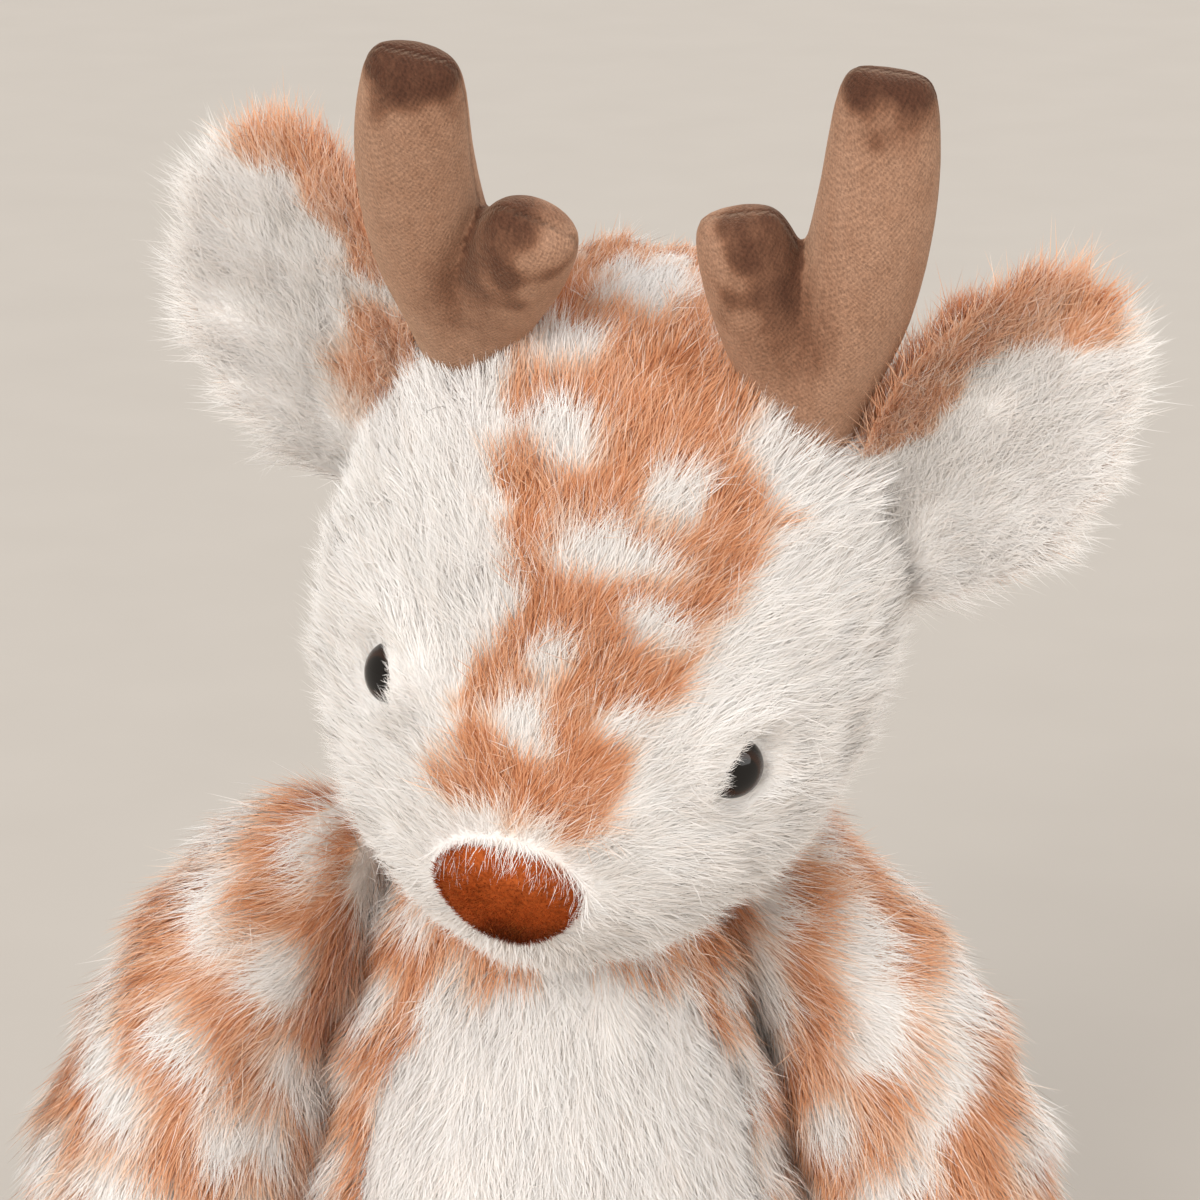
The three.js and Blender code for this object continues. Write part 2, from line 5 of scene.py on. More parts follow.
import bpy
import numpy as np
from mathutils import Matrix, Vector


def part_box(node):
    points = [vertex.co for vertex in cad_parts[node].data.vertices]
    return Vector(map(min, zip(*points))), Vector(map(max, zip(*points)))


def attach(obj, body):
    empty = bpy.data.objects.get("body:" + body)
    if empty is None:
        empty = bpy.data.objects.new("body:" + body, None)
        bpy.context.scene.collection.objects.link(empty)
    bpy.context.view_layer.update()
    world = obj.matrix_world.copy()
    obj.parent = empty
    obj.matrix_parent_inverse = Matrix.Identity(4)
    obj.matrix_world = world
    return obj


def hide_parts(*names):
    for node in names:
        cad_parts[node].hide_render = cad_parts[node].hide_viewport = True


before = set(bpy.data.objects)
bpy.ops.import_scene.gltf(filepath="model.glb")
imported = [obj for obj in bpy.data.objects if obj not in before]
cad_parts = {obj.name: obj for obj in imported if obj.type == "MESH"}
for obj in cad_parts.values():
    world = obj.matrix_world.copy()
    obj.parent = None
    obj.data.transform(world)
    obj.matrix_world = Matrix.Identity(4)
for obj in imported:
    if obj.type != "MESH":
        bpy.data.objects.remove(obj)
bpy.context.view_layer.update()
mm = 0.001


mirrors = {"left": 1, "right": -1}


# Arithmetic on arrays of points

# 0 below low and 1 above high; between them t t (3 - 2 t), with t the share of the way
def smooth(low, high, x):
    t = np.clip((x - low) / (high - low), 0, 1)
    return t * t * (3 - 2 * t)


# start below low and end above high, blended between them as smooth does
def blend(start, end, low, high, x):
    return start + (end - start) * smooth(low, high, x)


# The root of the sum of the squares of the parts
def lengthOf(vectors):
    return np.linalg.norm(vectors, axis=-1)


# Arrays side by side: the coordinates of points, or the corners of faces
def joined(*parts):
    return np.stack(parts, -1)


# Each vector over its own length
def unit(vectors):
    return vectors / np.maximum(np.linalg.norm(vectors, axis=-1, keepdims=True), 1e-9)


# The sum of the products of the parts
def dot(a, b):
    return (a * b).sum(-1, keepdims=True)


# What is left of a vector along a surface: the vector less its share along the normal
def flattened(vectors, normals):
    return vectors - dot(vectors, normals) * normals


# A place on a ball of radius 1: u is the share of a turn about its axis, v the share of the way down it
def onBall(u, v):
    polar, around = math.pi * v, 2 * math.pi * u
    return np.sin(polar) * np.cos(around), np.sin(polar) * np.sin(around), np.cos(polar)


# The matrix that turns by an angle about one axis: cosine and sine on the two others
def turned(axis, degrees):
    c, s = math.cos(math.radians(degrees)), math.sin(math.radians(degrees))
    i, j = {"x": (1, 2), "y": (2, 0), "z": (0, 1)}[axis]
    matrix = np.eye(3)
    matrix[i, i], matrix[i, j], matrix[j, i], matrix[j, j] = c, -s, s, c
    return matrix


# Smooth noise and its gradient: the sum of ten plane waves, each about as long as size, each in a
# direction of its own. The value is about 1 either way, and the gradient is a share of that.
def waves(points, size, seed):
    rng = np.random.default_rng(seed)
    pull = unit(rng.normal(size=(10, 3))) * rng.uniform(0.7, 1.4, (10, 1)) * 2 * math.pi / size
    angle = points @ pull.T + rng.uniform(0, 2 * math.pi, 10)
    value = np.sin(angle).sum(-1) / math.sqrt(5)
    gradient = np.cos(angle) @ pull * size / (2 * math.pi) / math.sqrt(5)
    return value, gradient


# A line through points, a centripetal Catmull-Rom curve: between two points it
# is the cubic whose speeds at them come from their neighbours, spaced by the root of the distance.
def curveAt(points, t):
    points = np.asarray(points, float)
    padded = np.concatenate([[2 * points[0] - points[1]], points, [2 * points[-1] - points[-2]]])
    place = np.clip(t, 0, 1) * (len(points) - 1)
    index = np.minimum(place.astype(int), len(points) - 2)
    w = (place - index)[..., None]
    a, b, c, d = (padded[index + k] for k in range(4))
    ab, bc, cd = (np.sqrt(np.linalg.norm(q - p, axis=-1, keepdims=True)) for p, q in ((a, b), (b, c), (c, d)))
    leave = ((b - a) / ab - (c - a) / (ab + bc) + (c - b) / bc) * bc
    arrive = ((c - b) / bc - (d - b) / (bc + cd) + (d - c) / cd) * bc
    return b + leave * w + (3 * (c - b) - 2 * leave - arrive) * w**2 + (2 * (b - c) + leave + arrive) * w**3


# Meshes

# A mesh from points in millimetres, quads and triangles, put in its place and on its body
def makeMesh(name, points, quads, tris, body, material):
    mesh = bpy.data.meshes.new(name)
    quads, tris = np.asarray(quads, np.int32).reshape(-1, 4), np.asarray(tris, np.int32).reshape(-1, 3)
    corners = np.concatenate([quads.ravel(), tris.ravel()])
    starts = np.concatenate([np.arange(len(quads)) * 4, len(quads) * 4 + np.arange(len(tris)) * 3])
    mesh.vertices.add(len(points))
    mesh.vertices.foreach_set("co", (points * mm).astype(np.float32).ravel())
    mesh.loops.add(len(corners))
    mesh.loops.foreach_set("vertex_index", corners)
    mesh.polygons.add(len(starts))
    mesh.polygons.foreach_set("loop_start", starts.astype(np.int32))
    mesh.polygons.foreach_set("use_smooth", np.ones(len(starts), bool))
    mesh.update(calc_edges=True)
    mesh.materials.append(material)
    obj = bpy.data.objects.new(name, mesh)
    bpy.context.scene.collection.objects.link(obj)
    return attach(obj, body)


# The points of a mesh, in millimetres
def pointsOf(mesh):
    co = np.empty(len(mesh.vertices) * 3, np.float32)
    mesh.vertices.foreach_get("co", co)
    return co.reshape(-1, 3) / mm


# One number for each point, for the materials to read
def setPointValues(obj, name, values):
    attribute = obj.data.attributes.new(name, "FLOAT", "POINT")
    attribute.data.foreach_set("value", np.asarray(values, np.float32))


# A closed mesh over a form: rings of points at even steps of v, a fan at each end. Where the span
# stops short of a pole, the fan is flat across the ring.
def formMesh(name, form, around, along, body, material, span=(0, 1), tintAt=None):
    v = np.linspace(*span, along + 1)
    rings = v[1 if span[0] == 0 else 0: -1 if span[1] == 1 else None]
    atU, atV = np.meshgrid(np.arange(around) / around, rings)
    grid = form(atU, atV)
    ends = [form(np.zeros(1), np.array([float(end)])) if end in (0, 1) else ring.mean(0, keepdims=True)
            for end, ring in ((span[0], grid[0]), (span[1], grid[-1]))]
    points = np.concatenate([grid.reshape(-1, 3), *ends])
    atU, atV = np.append(atU.ravel(), [0, 0]), np.append(atV.ravel(), span)
    i, j = np.meshgrid(np.arange(around), np.arange(len(rings) - 1))
    a, b = j * around + i, j * around + (i + 1) % around
    quads = joined(a, a + around, b + around, b).reshape(-1, 4)
    k = np.arange(around)
    top, low, last = len(points) - 2, len(points) - 1, (len(rings) - 1) * around
    fans = [joined(np.full(around, top), k, (k + 1) % around),
            joined(np.full(around, low), last + (k + 1) % around, last + k)]
    tris = np.concatenate(fans)
    p, q, r = (points[quads[:, n]] for n in range(3))
    if (np.cross(q - p, r - p) * (p - points.mean(0))).sum() < 0:
        quads, tris = quads[:, ::-1], tris[:, ::-1]
    obj = makeMesh(name, points, quads, tris, body, material)
    if tintAt:
        setPointValues(obj, "tint", tintAt(points, atU, atV))
    return obj


# Materials

# A colour as a screen shows it, from 0 to 255, as the light it stands for
def shown(*levels):
    return [((c / 255 + 0.055) / 1.055) ** 2.4 if c > 10 else c / 3294.6 for c in levels] + [1.0]


class Field:
    # One value of a material, which arithmetic and other nodes turn into the next
    def __init__(self, tree, socket):
        self.tree, self.socket = tree, socket

    # any node: its settings and a ramp's stops, each a place and a colour's levels, first, then the
    # values or links of its sockets
    def node(self, kind, inputs, output=0, stops=(), **settings):
        made = self.tree.nodes.new("ShaderNode" + kind)
        for key, value in settings.items():
            setattr(made, key, value)
        for _ in stops[2:]:
            made.color_ramp.elements.new(0.5)
        for element, (place, *levels) in zip(made.color_ramp.elements if stops else (), stops):
            element.position, element.color = place, shown(*levels)
        for key, value in inputs.items():
            if isinstance(value, Field):
                self.tree.links.new(value.socket, made.inputs[key])
            else:
                made.inputs[key].default_value = value
        return Field(self.tree, made.outputs[output])

    def math(self, operation, other=0.0):
        return self.node("Math", {0: self, 1: other}, operation=operation)

    def __add__(self, other):
        return self.math("ADD", other)

    def __mul__(self, other):
        return self.math("MULTIPLY", other)

    def __sub__(self, other):
        return self.math("SUBTRACT", other)

    def __rsub__(self, other):
        return self.node("Math", {0: other, 1: self}, operation="SUBTRACT")

    __radd__, __rmul__ = __add__, __mul__

    def span(self, low, high, start=0.0, end=1.0):
        return self.node("MapRange", {0: self, 1: low, 2: high, 3: start, 4: end})

    def ramp(self, stops):
        return self.node("ValToRGB", {0: self}, stops=stops)

    # a colour made darker or lighter by this value
    def times(self, colour):
        return self.node("Mix", {0: 1.0, 6: colour, 7: self}, 2, data_type="RGBA", blend_type="MULTIPLY")


class Material:
    # A Principled material: settings are its sockets' constants, set() links what varies
    def __init__(self, name, **settings):
        self.made = bpy.data.materials.new(name)
        self.made.use_nodes = True
        self.tree = self.made.node_tree
        self.shader = self.tree.nodes["Principled BSDF"]
        for key, value in settings.items():
            self.shader.inputs[key.replace("_", " ")].default_value = value
        self.start = Field(self.tree, None)

    # noise on Object coordinates, whose lumps are about size millimetres
    def noise(self, size, detail=2.0, roughness=0.5, stretch=(1, 1, 1)):
        scaled = self.start.node("Mapping", {0: self.start.node("TexCoord", {}, "Object"), 3: stretch})
        return self.start.node("TexNoise", {"Vector": scaled, "Scale": 1 / (size * mm), "Detail": detail,
                                            "Roughness": roughness})

    def attribute(self, name):
        return self.start.node("Attribute", {}, "Fac", attribute_name=name)

    def set(self, **fields):
        for key, field in fields.items():
            self.tree.links.new(field.socket, self.shader.inputs[key.replace("_", " ")])

    def bump(self, height, distance, strength=1.0):
        inputs = {"Strength": strength, "Distance": distance * mm, "Height": height}
        self.set(Normal=self.start.node("Bump", inputs))


# Fur dyes from white, at tint 0, through apricot to brown, at tint 1
furDyes = [
    (0.0, 255, 252, 248), (0.2, 254, 244, 235), (0.36, 249, 221, 198), (0.52, 241, 192, 155),
    (0.68, 229, 163, 118), (0.84, 211, 138, 92), (1.0, 172, 106, 70),
]
# painted shade: the share that a strand's colour is multiplied by at its root, as the shadow down among the
# strands
furRootPaintedShade = 0.94


# A strand's colour depends on its tint, deeper at the root than at the tip, partly as its dye and partly as
# painted shade, so the map needs only the tint across it and the way along the strand up it
def makeFurMaterial():
    made = Material("fur", Roughness=0.7, Specular_IOR_Level=0.25, Sheen_Weight=0.15, Sheen_Roughness=0.4)
    tint, along = (made.start.node("SeparateXYZ", {0: made.start.node("UVMap", {}, uv_map="OFBake")}, k)
                   for k in (0, 1))
    dye = (tint * along.span(0, 1, 1.18, 0.8)).ramp(furDyes)
    # the root darkened by painted shade, fading out by 0.7 of the way along
    made.set(Base_Color=along.span(0, 0.7, furRootPaintedShade, 1).times(dye))
    return made.made


# The backing and the thick of the fur under the strands, mottled in small tufts
def makeSkinMaterial():
    made = Material("furBed", Roughness=0.9, Specular_IOR_Level=0.1, Sheen_Weight=0.2)
    tufts = made.noise(1.6, 3)
    dye = (made.attribute("tint") * tufts.span(0.3, 0.7, 0.9, 1.15)).ramp(furDyes)
    made.set(Base_Color=tufts.span(0.3, 0.7, 0.88, 1.0).times(dye))
    made.bump(made.noise(0.9, 2), 0.8, 0.6)
    return made.made


fur = makeFurMaterial()
furBed = makeSkinMaterial()


# Fur

# Points spread evenly over a form. The form's area is summed on a grid; a pair of evenly spread
# numbers picks the latitude by the area of its ring, then the place on the ring by the area along it.
def scatter(form, count, seed):
    v, u = np.linspace(0.003, 0.997, 130), np.linspace(0, 1, 97)
    grid = form(*np.meshgrid(u, v))
    area = lengthOf(np.cross(np.gradient(grid, axis=0), np.gradient(grid, axis=1)))
    rings = np.concatenate([[0], np.cumsum((area[1:] + area[:-1])[:, :-1].sum(1) / 2)])
    lines = np.concatenate([np.zeros((len(v), 1)), np.cumsum(area[:, 1:] + area[:, :-1], axis=1)], axis=1)
    lines /= lines[:, -1:]
    n = np.arange(count)
    rng = np.random.default_rng(seed)
    jitter = rng.normal(0, 0.35 / math.sqrt(count), (2, count))
    first = (0.5 + n * 0.7548776662466927 + jitter[0]) % 1
    second = (0.5 + n * 0.5698402909980532 + jitter[1]) % 1
    atV = np.interp(first, rings / rings[-1], v)
    row = lines[np.clip(np.round((atV - v[0]) / (v[1] - v[0])).astype(int), 0, len(v) - 1)]
    k = np.clip((row < second[:, None]).sum(1), 1, len(u) - 1)
    low, high = row[n, k - 1], row[n, k]
    atU = u[k - 1] + (second - low) / np.maximum(high - low, 1e-9) * (u[1] - u[0])
    return atU, atV, rings[-1]


# Square to the form, on the side it grows towards
def normalsOf(grown, grow, u, v):
    form, step = grown(grow), 1e-3
    across = form(u + step, v) - form(u - step, v)
    along = form(u, np.clip(v + step, 0, 1)) - form(u, np.clip(v - step, 0, 1))
    out = unit(np.cross(along, across))
    return out * np.sign(np.median(dot(out, grown(grow + 1)(u, v) - form(u, v))))


strandGrowth = {
    "taper": 0.55, "widthSpread": 0.25, "clearOfFloor": 0.15,
    # the least lift, the most, and how the slow noise and chance change it, at the root and at the tip
    "lift": (15, 88, 5, 10), "tipLift": (-5, 85, 4, 13), "length": (0.45, 1.7, 0.16, 0.17),
    "eddy": 0.7, "fineTuft": 0.45, "curl": 1.6,
}


# Strands: each leaves its root between the surface's normal and the way the fur is combed, leans
# over towards the comb as it goes, and is drawn with its neighbours towards the middle of a tuft.
# A point along it is root + length (s d0 + s s (d1 - d0) / 2). It is a ribbon as far as its middle,
# where it has narrowed by the taper times 0.5 to the power of 1.5, and a triangle on to its tip.
def strands(name, roots, normals, flow, tint, style, body, seed, size, raised, material):
    rng = np.random.default_rng(seed)
    count = len(roots)
    sway, drift = waves(roots, style["swaySize"], seed + 1)
    _, eddy = waves(roots, style["swaySize"] * 0.5, seed + 4)
    comb = unit(flattened(flow, normals) + 1e-6)
    astray = style["loose"] * rng.normal(size=(count, 3))
    loose = style["drift"] * (drift + strandGrowth["eddy"] * eddy) + astray
    comb = unit(comb + flattened(loose, normals))

    def varied(key, middle):
        least, most, share, chance = strandGrowth[key]
        return np.clip(middle + share * sway + rng.normal(0, chance, count), least, most)[:, None]

    lift = np.radians(varied("lift", style["lift"] + raised))
    tipLift = np.radians(varied("tipLift", style["tipLift"] + raised))
    length = style["length"] * varied("length", 1) * size[:, None]
    start = normals * np.sin(lift) + comb * np.cos(lift)
    end = normals * np.sin(tipLift) + comb * np.cos(tipLift)
    end = unit(end + np.array([0, 0, -style["droop"]]))
    _, pull = waves(roots, style["tuftSize"], seed + 2)
    _, finePull = waves(roots, style["tuftSize"] * 0.45, seed + 3)
    pull = flattened(style["tuft"] * (pull + strandGrowth["fineTuft"] * finePull), normals)
    stray, curl = rng.normal(0, style["stray"], (2, count, 3))
    stations = (0, 0.5, 1)
    line = np.stack([roots + length * (s * start + s * s * (end - start) / 2) + s**1.5 * (pull + stray)
                     + s * (1 - s) * strandGrowth["curl"] * curl for s in stations], 1)
    line[:, :, 2] = np.maximum(line[:, :, 2], strandGrowth["clearOfFloor"])
    way = unit(line[:, -1] - line[:, 0])
    flat = unit(np.cross(way, normals))
    roll = rng.normal(0, style["roll"], count)[:, None]
    side = flat * np.cos(roll) + np.cross(way, flat) * np.sin(roll)
    side *= np.sign(dot(np.cross(side, way), normals))
    spread = strandGrowth["widthSpread"]
    width = style["width"] * rng.uniform(1 - spread, 1 + spread, (count, 1))
    ways = unit(np.gradient(line, axis=1))
    facing = unit(normals[:, None] - dot(normals[:, None], ways) * ways + 1e-6)
    rows = [line[:, k] + sign * side * width / 2 * (1 - strandGrowth["taper"] * stations[k] ** 1.5)
            for k in (0, 1) for sign in (-1, 1)] + [line[:, 2]]
    first = np.arange(count)[:, None] * 5
    quads, tris = first + np.array([0, 1, 3, 2]), first + np.array([2, 3, 4])
    obj = makeMesh(name, np.stack(rows, 1).reshape(-1, 3), quads, tris, body, material)
    setPointValues(obj, "tint", np.repeat(tint, 5))
    # lit as round hairs that face out of the coat
    shading = obj.data.attributes.new("custom_normal", "FLOAT_VECTOR", "POINT")
    shading.data.foreach_set("vector", facing[:, [0, 0, 1, 1, 2]].astype(np.float32).ravel())
    uv = joined(np.repeat(np.clip(tint, 0.02, 0.98), 5), np.tile([0.02, 0.02, 0.5, 0.5, 0.98], count))
    corners = np.concatenate([quads.ravel(), tris.ravel()])
    obj.data.uv_layers.new(name="OFBake").data.foreach_set("uv", uv[corners].astype(np.float32).ravel())
    return obj


coatLook = {
    "mostStrands": 64000, "quickShare": 0.3,
    # the share of pale hairs in it, and how far the dye strays from hair to hair and from place to place
    "paleShare": 0.11, "dyeJitter": 0.05, "mottle": 0.045, "mottleSize": 7,
}


# A coat of fur over a form, in as many pieces as keep each one light. The functions handed in give the
# tint, the comb's way, which strands are kept, their size and how many degrees more they stand up.
def coat(name, grown, grow, style, tintAt, flowAt, body, seed, keepAt=None, sizeAt=None, raisedAt=None,
         dye=None):
    form, share = grown(grow), 1
    area = scatter(form, 8, seed)[2]
    u, v, _ = scatter(form, int(area * style["perSquare"] * share), seed)
    roots, normals = form(u, v), normalsOf(grown, grow, u, v)
    kept = np.ones(len(u), bool) if keepAt is None else keepAt(roots, u, v)
    u, v, roots, normals = u[kept], v[kept], roots[kept], normals[kept]
    rng = np.random.default_rng(seed + 7)
    mottle, _ = waves(roots, coatLook["mottleSize"], seed + 8)
    tint = tintAt(roots, u, v)
    tint = tint * np.where(rng.random(len(u)) < coatLook["paleShare"], 0.5, 1)
    tint = tint + rng.normal(0, coatLook["dyeJitter"], len(u)) + coatLook["mottle"] * mottle * (0.3 + tint)
    flow = flowAt(roots)
    sizes = np.ones(len(u)) if sizeAt is None else sizeAt(roots, u, v)
    raised = np.zeros(len(u)) if raisedAt is None else raisedAt(roots, u, v)
    style = dict(style, width=style["width"] / math.sqrt(share))
    parts = math.ceil(len(u) / coatLook["mostStrands"])
    order = np.argsort(v, kind="stable")
    for k, chosen in enumerate(np.array_split(order, parts)):
        pieceName = name if parts == 1 else f"{name}_{k + 1}"
        piece = strands(pieceName, roots[chosen], normals[chosen], flow[chosen], tint[chosen], style, body,
                        seed + 20 * k, sizes[chosen], raised[chosen], dye or fur)
    print(f"{name}: {len(u)} strands over {area:.0f} square mm, in {parts} pieces", flush=True)


# The stuffed form under a coat, which stands for the CAD covers and their stuffing
def bed(name, form, around, along, tintAt, body, nodes, span=(0, 1)):
    obj = formMesh(name, form, around, along, body, furBed, span, tintAt)
    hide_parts(*nodes)
    return obj


# how far a spot may wander and turn, its least size and how much more it may be, and its soft edge
spotLook = {"wander": 0.34, "turn": 0.6, "least": 0.75, "more": 0.5, "edge": (0.5, 1.42)}


# White spots on tan fur: ovals with a soft edge, on a grid whose rows are set half a spot over from
# each other, each moved, turned and sized by its own share, the fraction of a large sine of its place.
def spotGrid(across, along, acrossStep, alongStep, longHalf, shortHalf, seed, slant=0.0):
    white = np.zeros(len(across))
    row = np.floor(along / alongStep)
    for rowStep in (-1, 0, 1):
        j = row + rowStep
        column = np.floor(across / acrossStep + 0.5 * (j % 2))
        for columnStep in (-1, 0, 1):
            i = column + columnStep
            shares = [np.abs(np.sin((i * 12.9898 + j * 78.233 + seed) * k) * 43758.5453) % 1
                      for k in (1.0, 1.7, 2.3, 3.1, 4.7)]
            dx = across - (i + 0.5 - 0.5 * (j % 2) + spotLook["wander"] * (shares[0] - 0.5)) * acrossStep
            dy = along - (j + 0.5 + spotLook["wander"] * (shares[1] - 0.5)) * alongStep
            turn = slant + (shares[4] - 0.5) * spotLook["turn"]
            short, long = (half * (spotLook["least"] + spotLook["more"] * share)
                           for half, share in ((shortHalf, shares[2]), (longHalf, shares[3])))
            a = (dx * np.cos(turn) - dy * np.sin(turn)) / short
            b = (dx * np.sin(turn) + dy * np.cos(turn)) / long
            white = np.maximum(white, 1 - smooth(*spotLook["edge"], np.sqrt(a * a + b * b)))
    return white


# The tint from tan, where white is 0, to pale, where it is 1
def blendTint(white, tan=0.7, pale=0.06):
    return tan * (1 - white) + pale * white


# Four kinds of fur: lengths in mm, angles in degrees from the surface, strands per square millimetre
furMeasures = ("length", "lift", "tipLift", "droop", "tuft", "tuftSize", "swaySize", "stray", "drift",
               "loose", "width", "roll", "perSquare")
furStyles = {kind: dict(zip(furMeasures, values)) for kind, values in {
    "face": (7.5, 28, 9, 0.08, 0.75, 4.6, 17, 0.34, 0.32, 0.28, 0.135, 0.6, 4.5),
    "long": (10.5, 28, 7, 0.1, 1.0, 6.2, 22, 0.38, 0.24, 0.24, 0.155, 0.65, 2.85),
    "belly": (8.0, 28, 9, 0.1, 0.7, 5.5, 20, 0.34, 0.28, 0.26, 0.14, 0.6, 3.6),
    "ear": (8.5, 32, 12, 0.05, 0.45, 4.5, 14, 0.42, 0.26, 0.3, 0.135, 0.65, 5.6),
}.items()}
# how far the thick of the fur stands out from the CAD's covers, under the strands
bedGrow, bellyGrow = 1.8, 2.4


# Torso

torso = {
    "halfWidth": 49, "halfDepth": 45, "below": 56, "above": 108, "level": 60, "forward": 2,
    "blunt": 0.8, "seatBlunt": 0.5, "draw": (0.26, 0.24), "drawSpan": (0, 0.9),
    "top": 136, "topSlope": 0.43, "topFrom": -32, "topSoft": 6,
    "bellyTop": 129, "bellyBottom": 5, "bellyHalfWidth": 42, "bellyInset": 0.985,
    "bellyShares": [[0, 0], [0.62, 0.03], [0.98, 0.2], [1, 0.42], [0.93, 0.66], [0.62, 0.88], [0, 1]],
    # the spots' steps across and up and their half sizes, and the radius at which they are laid out
    "spots": (20, 18, 7.2, 7.6), "spotRadius": 44, "bellyTint": 0.05,
}


# The torso's half width and half depth at a height up, from -1 to 1: the named ones, drawn in upwards,
# times (1 - up up) to half of its bluntness
def torsoReaches(up, grow):
    draw = smooth(*torso["drawSpan"], up)
    swell = np.maximum(1 - up * up, 0) ** (np.where(up < 0, torso["seatBlunt"], torso["blunt"]) / 2)
    halfWidth = (torso["halfWidth"] * (1 - torso["draw"][0] * draw) + grow) * swell
    halfDepth = (torso["halfDepth"] * (1 - torso["draw"][1] * draw) + grow) * swell
    return halfWidth, halfDepth


# The torso at an angle u round it and v from its top: up is the cosine of v. Its top is planed off
# along a slope where the head comes.
def torsoForm(grow):
    def at(u, v):
        up = np.cos(math.pi * v)
        halfWidth, halfDepth = torsoReaches(up, grow)
        z = torso["level"] + up * (np.where(up < 0, torso["below"], torso["above"]) + grow)
        x = np.cos(2 * math.pi * u) * halfWidth
        y = -np.sin(2 * math.pi * u) * halfDepth - torso["forward"]
        top = torso["top"] + grow + torso["topSlope"] * (y - torso["topFrom"])
        over, soft = z - top, torso["topSoft"]
        z = np.where(over > -soft, top - soft + soft * np.tanh(np.maximum(over + soft, 0) / soft), z)
        return joined(x, y, np.maximum(z, 0.2))
    return at


# How wide the belly panel is at a height, from its outline's table
def bellyHalfWidthAt(z):
    line = curveAt(np.array(torso["bellyShares"]) * [torso["bellyHalfWidth"], 1], np.linspace(0, 1, 200))
    height = torso["bellyBottom"] + line[:, 1] * (torso["bellyTop"] - torso["bellyBottom"])
    return np.interp(z, height, line[:, 0], left=0, right=0)


# Whether a place is on the front, nearer its middle than the belly panel's edge less a margin
def inBelly(p, margin=0.0):
    half = bellyHalfWidthAt(p[..., 2])
    return (p[..., 1] < 0) & (np.abs(p[..., 0]) < half - margin) & (half > 0)


# The belly panel: across runs from edge to edge and tall from bottom to top. y is where the torso's
# own front lies at that x and z, raised by the square root of how far the place is from the rim.
def bellyForm(grow, inner=-0.6):
    def at(u, v):
        across, tall, crown = onBall(u, v)
        top, bottom, inset = torso["bellyTop"], torso["bellyBottom"], torso["bellyInset"]
        z = (top + bottom) / 2 + tall * (top - bottom) / 2 * inset
        room = np.sqrt(np.maximum(1 - tall**2, 1e-9))
        x = across / room * bellyHalfWidthAt(z) * inset
        up = (z - torso["level"]) / np.where(z < torso["level"], torso["below"], torso["above"])
        halfWidth, halfDepth = torsoReaches(up, 0)
        depth = np.sqrt(np.maximum(1 - (x / np.maximum(halfWidth, 1)) ** 2, 0.02))
        over = inner + (grow - inner) * np.sqrt(np.clip(crown * 1.6, 0, 1))
        rise = np.where(crown > 0, over, inner + 0.8 * crown)
        return joined(x, -depth * (halfDepth + rise) - torso["forward"], np.maximum(z, 0.4))
    return at


# Whether a place is inside the grown torso: within its oval at that height
def insideTorso(p, grow):
    reach = np.where(p[:, 2] < torso["level"], torso["below"], torso["above"]) + grow
    up = (p[:, 2] - torso["level"]) / reach
    halfWidth, halfDepth = (np.maximum(reach, 1e-6) for reach in torsoReaches(np.clip(up, -1, 1), grow))
    away = (p[:, 0] / halfWidth) ** 2 + ((p[:, 1] + torso["forward"]) / halfDepth) ** 2
    return (np.abs(up) < 1) & (away < 1)


# Head

head = {
    "halfWidth": 52, "halfHeight": 50, "face": 70, "nape": 62, "forward": 6, "lift": 2,
    "cheekDraw": 11, "cheekSpan": (0.3, 1.05), "muzzleDraw": 12, "muzzleSpan": (0.05, 0.9),
    "browDrop": 18, "browSpan": (-0.1, 0.9), "blunt": 0.8,
    "place": (13, -30, 206), "turn": -20, "tilt": 13, "nod": 34.5,
    "eyeAhead": 0.6, "eyeAngle": 35,
}
headTurn = turned("z", head["turn"]) @ turned("y", head["tilt"]) @ turned("x", head["nod"])


# From the head's own frame to the part's: turned, then moved to its place
def toWorld(p):
    return np.asarray(p) @ headTurn.T + np.array(head["place"])


# And back
def toHead(p):
    return (p - np.array(head["place"])) @ headTurn


# The head's half width, half height and middle's level at a place ahead, from -1 at the nape to 1
def headReaches(ahead, grow):
    halfWidth = head["halfWidth"] - head["cheekDraw"] * smooth(*head["cheekSpan"], ahead) + grow
    halfHeight = head["halfHeight"] - head["muzzleDraw"] * smooth(*head["muzzleSpan"], ahead) + grow
    level = head["lift"] - head["browDrop"] * smooth(*head["browSpan"], ahead)
    return halfWidth, halfHeight, level


# The head in its own frame: v runs from the muzzle's tip to the nape and ahead is its cosine; u turns
# about that line from the toy's left over the top, at reaches times the sine of v to a power
def headLocal(grow):
    def at(u, v):
        ahead = np.cos(math.pi * v)
        swell = np.maximum(np.sin(math.pi * v), 0) ** head["blunt"]
        halfWidth, halfHeight, level = headReaches(ahead, grow)
        x = np.cos(2 * math.pi * u) * swell * halfWidth
        y = -head["forward"] - ahead * (np.where(ahead > 0, head["face"], head["nape"]) + grow)
        z = level + np.sin(2 * math.pi * u) * swell * halfHeight
        return joined(x, y, z)
    return at


# Each eye's middle on the bare head and the way out of it
eyeSpots = {}
for side, angle in (("left", head["eyeAngle"]), ("right", 180 - head["eyeAngle"])):
    atU, atV = np.array([angle / 360]), np.array([math.acos(head["eyeAhead"]) / math.pi])
    eyeSpots[side] = (headLocal(0)(atU, atV)[0], normalsOf(headLocal, 0, atU, atV)[0])


# How far a place is from the nearer eye
def nearEye(local):
    return np.minimum(*[lengthOf(local - spot) for spot, _ in eyeSpots.values()])


# The fur stands as a lid over each eye's inner and upper side. edge is how far the lid stays from
# the eye's middle, reach where it has sunk back into the coat.
lids = {"inwards": (-0.82, -0.1, 0.6), "height": 4.6, "edge": (1.2, 3.6), "reach": (6, 16)}


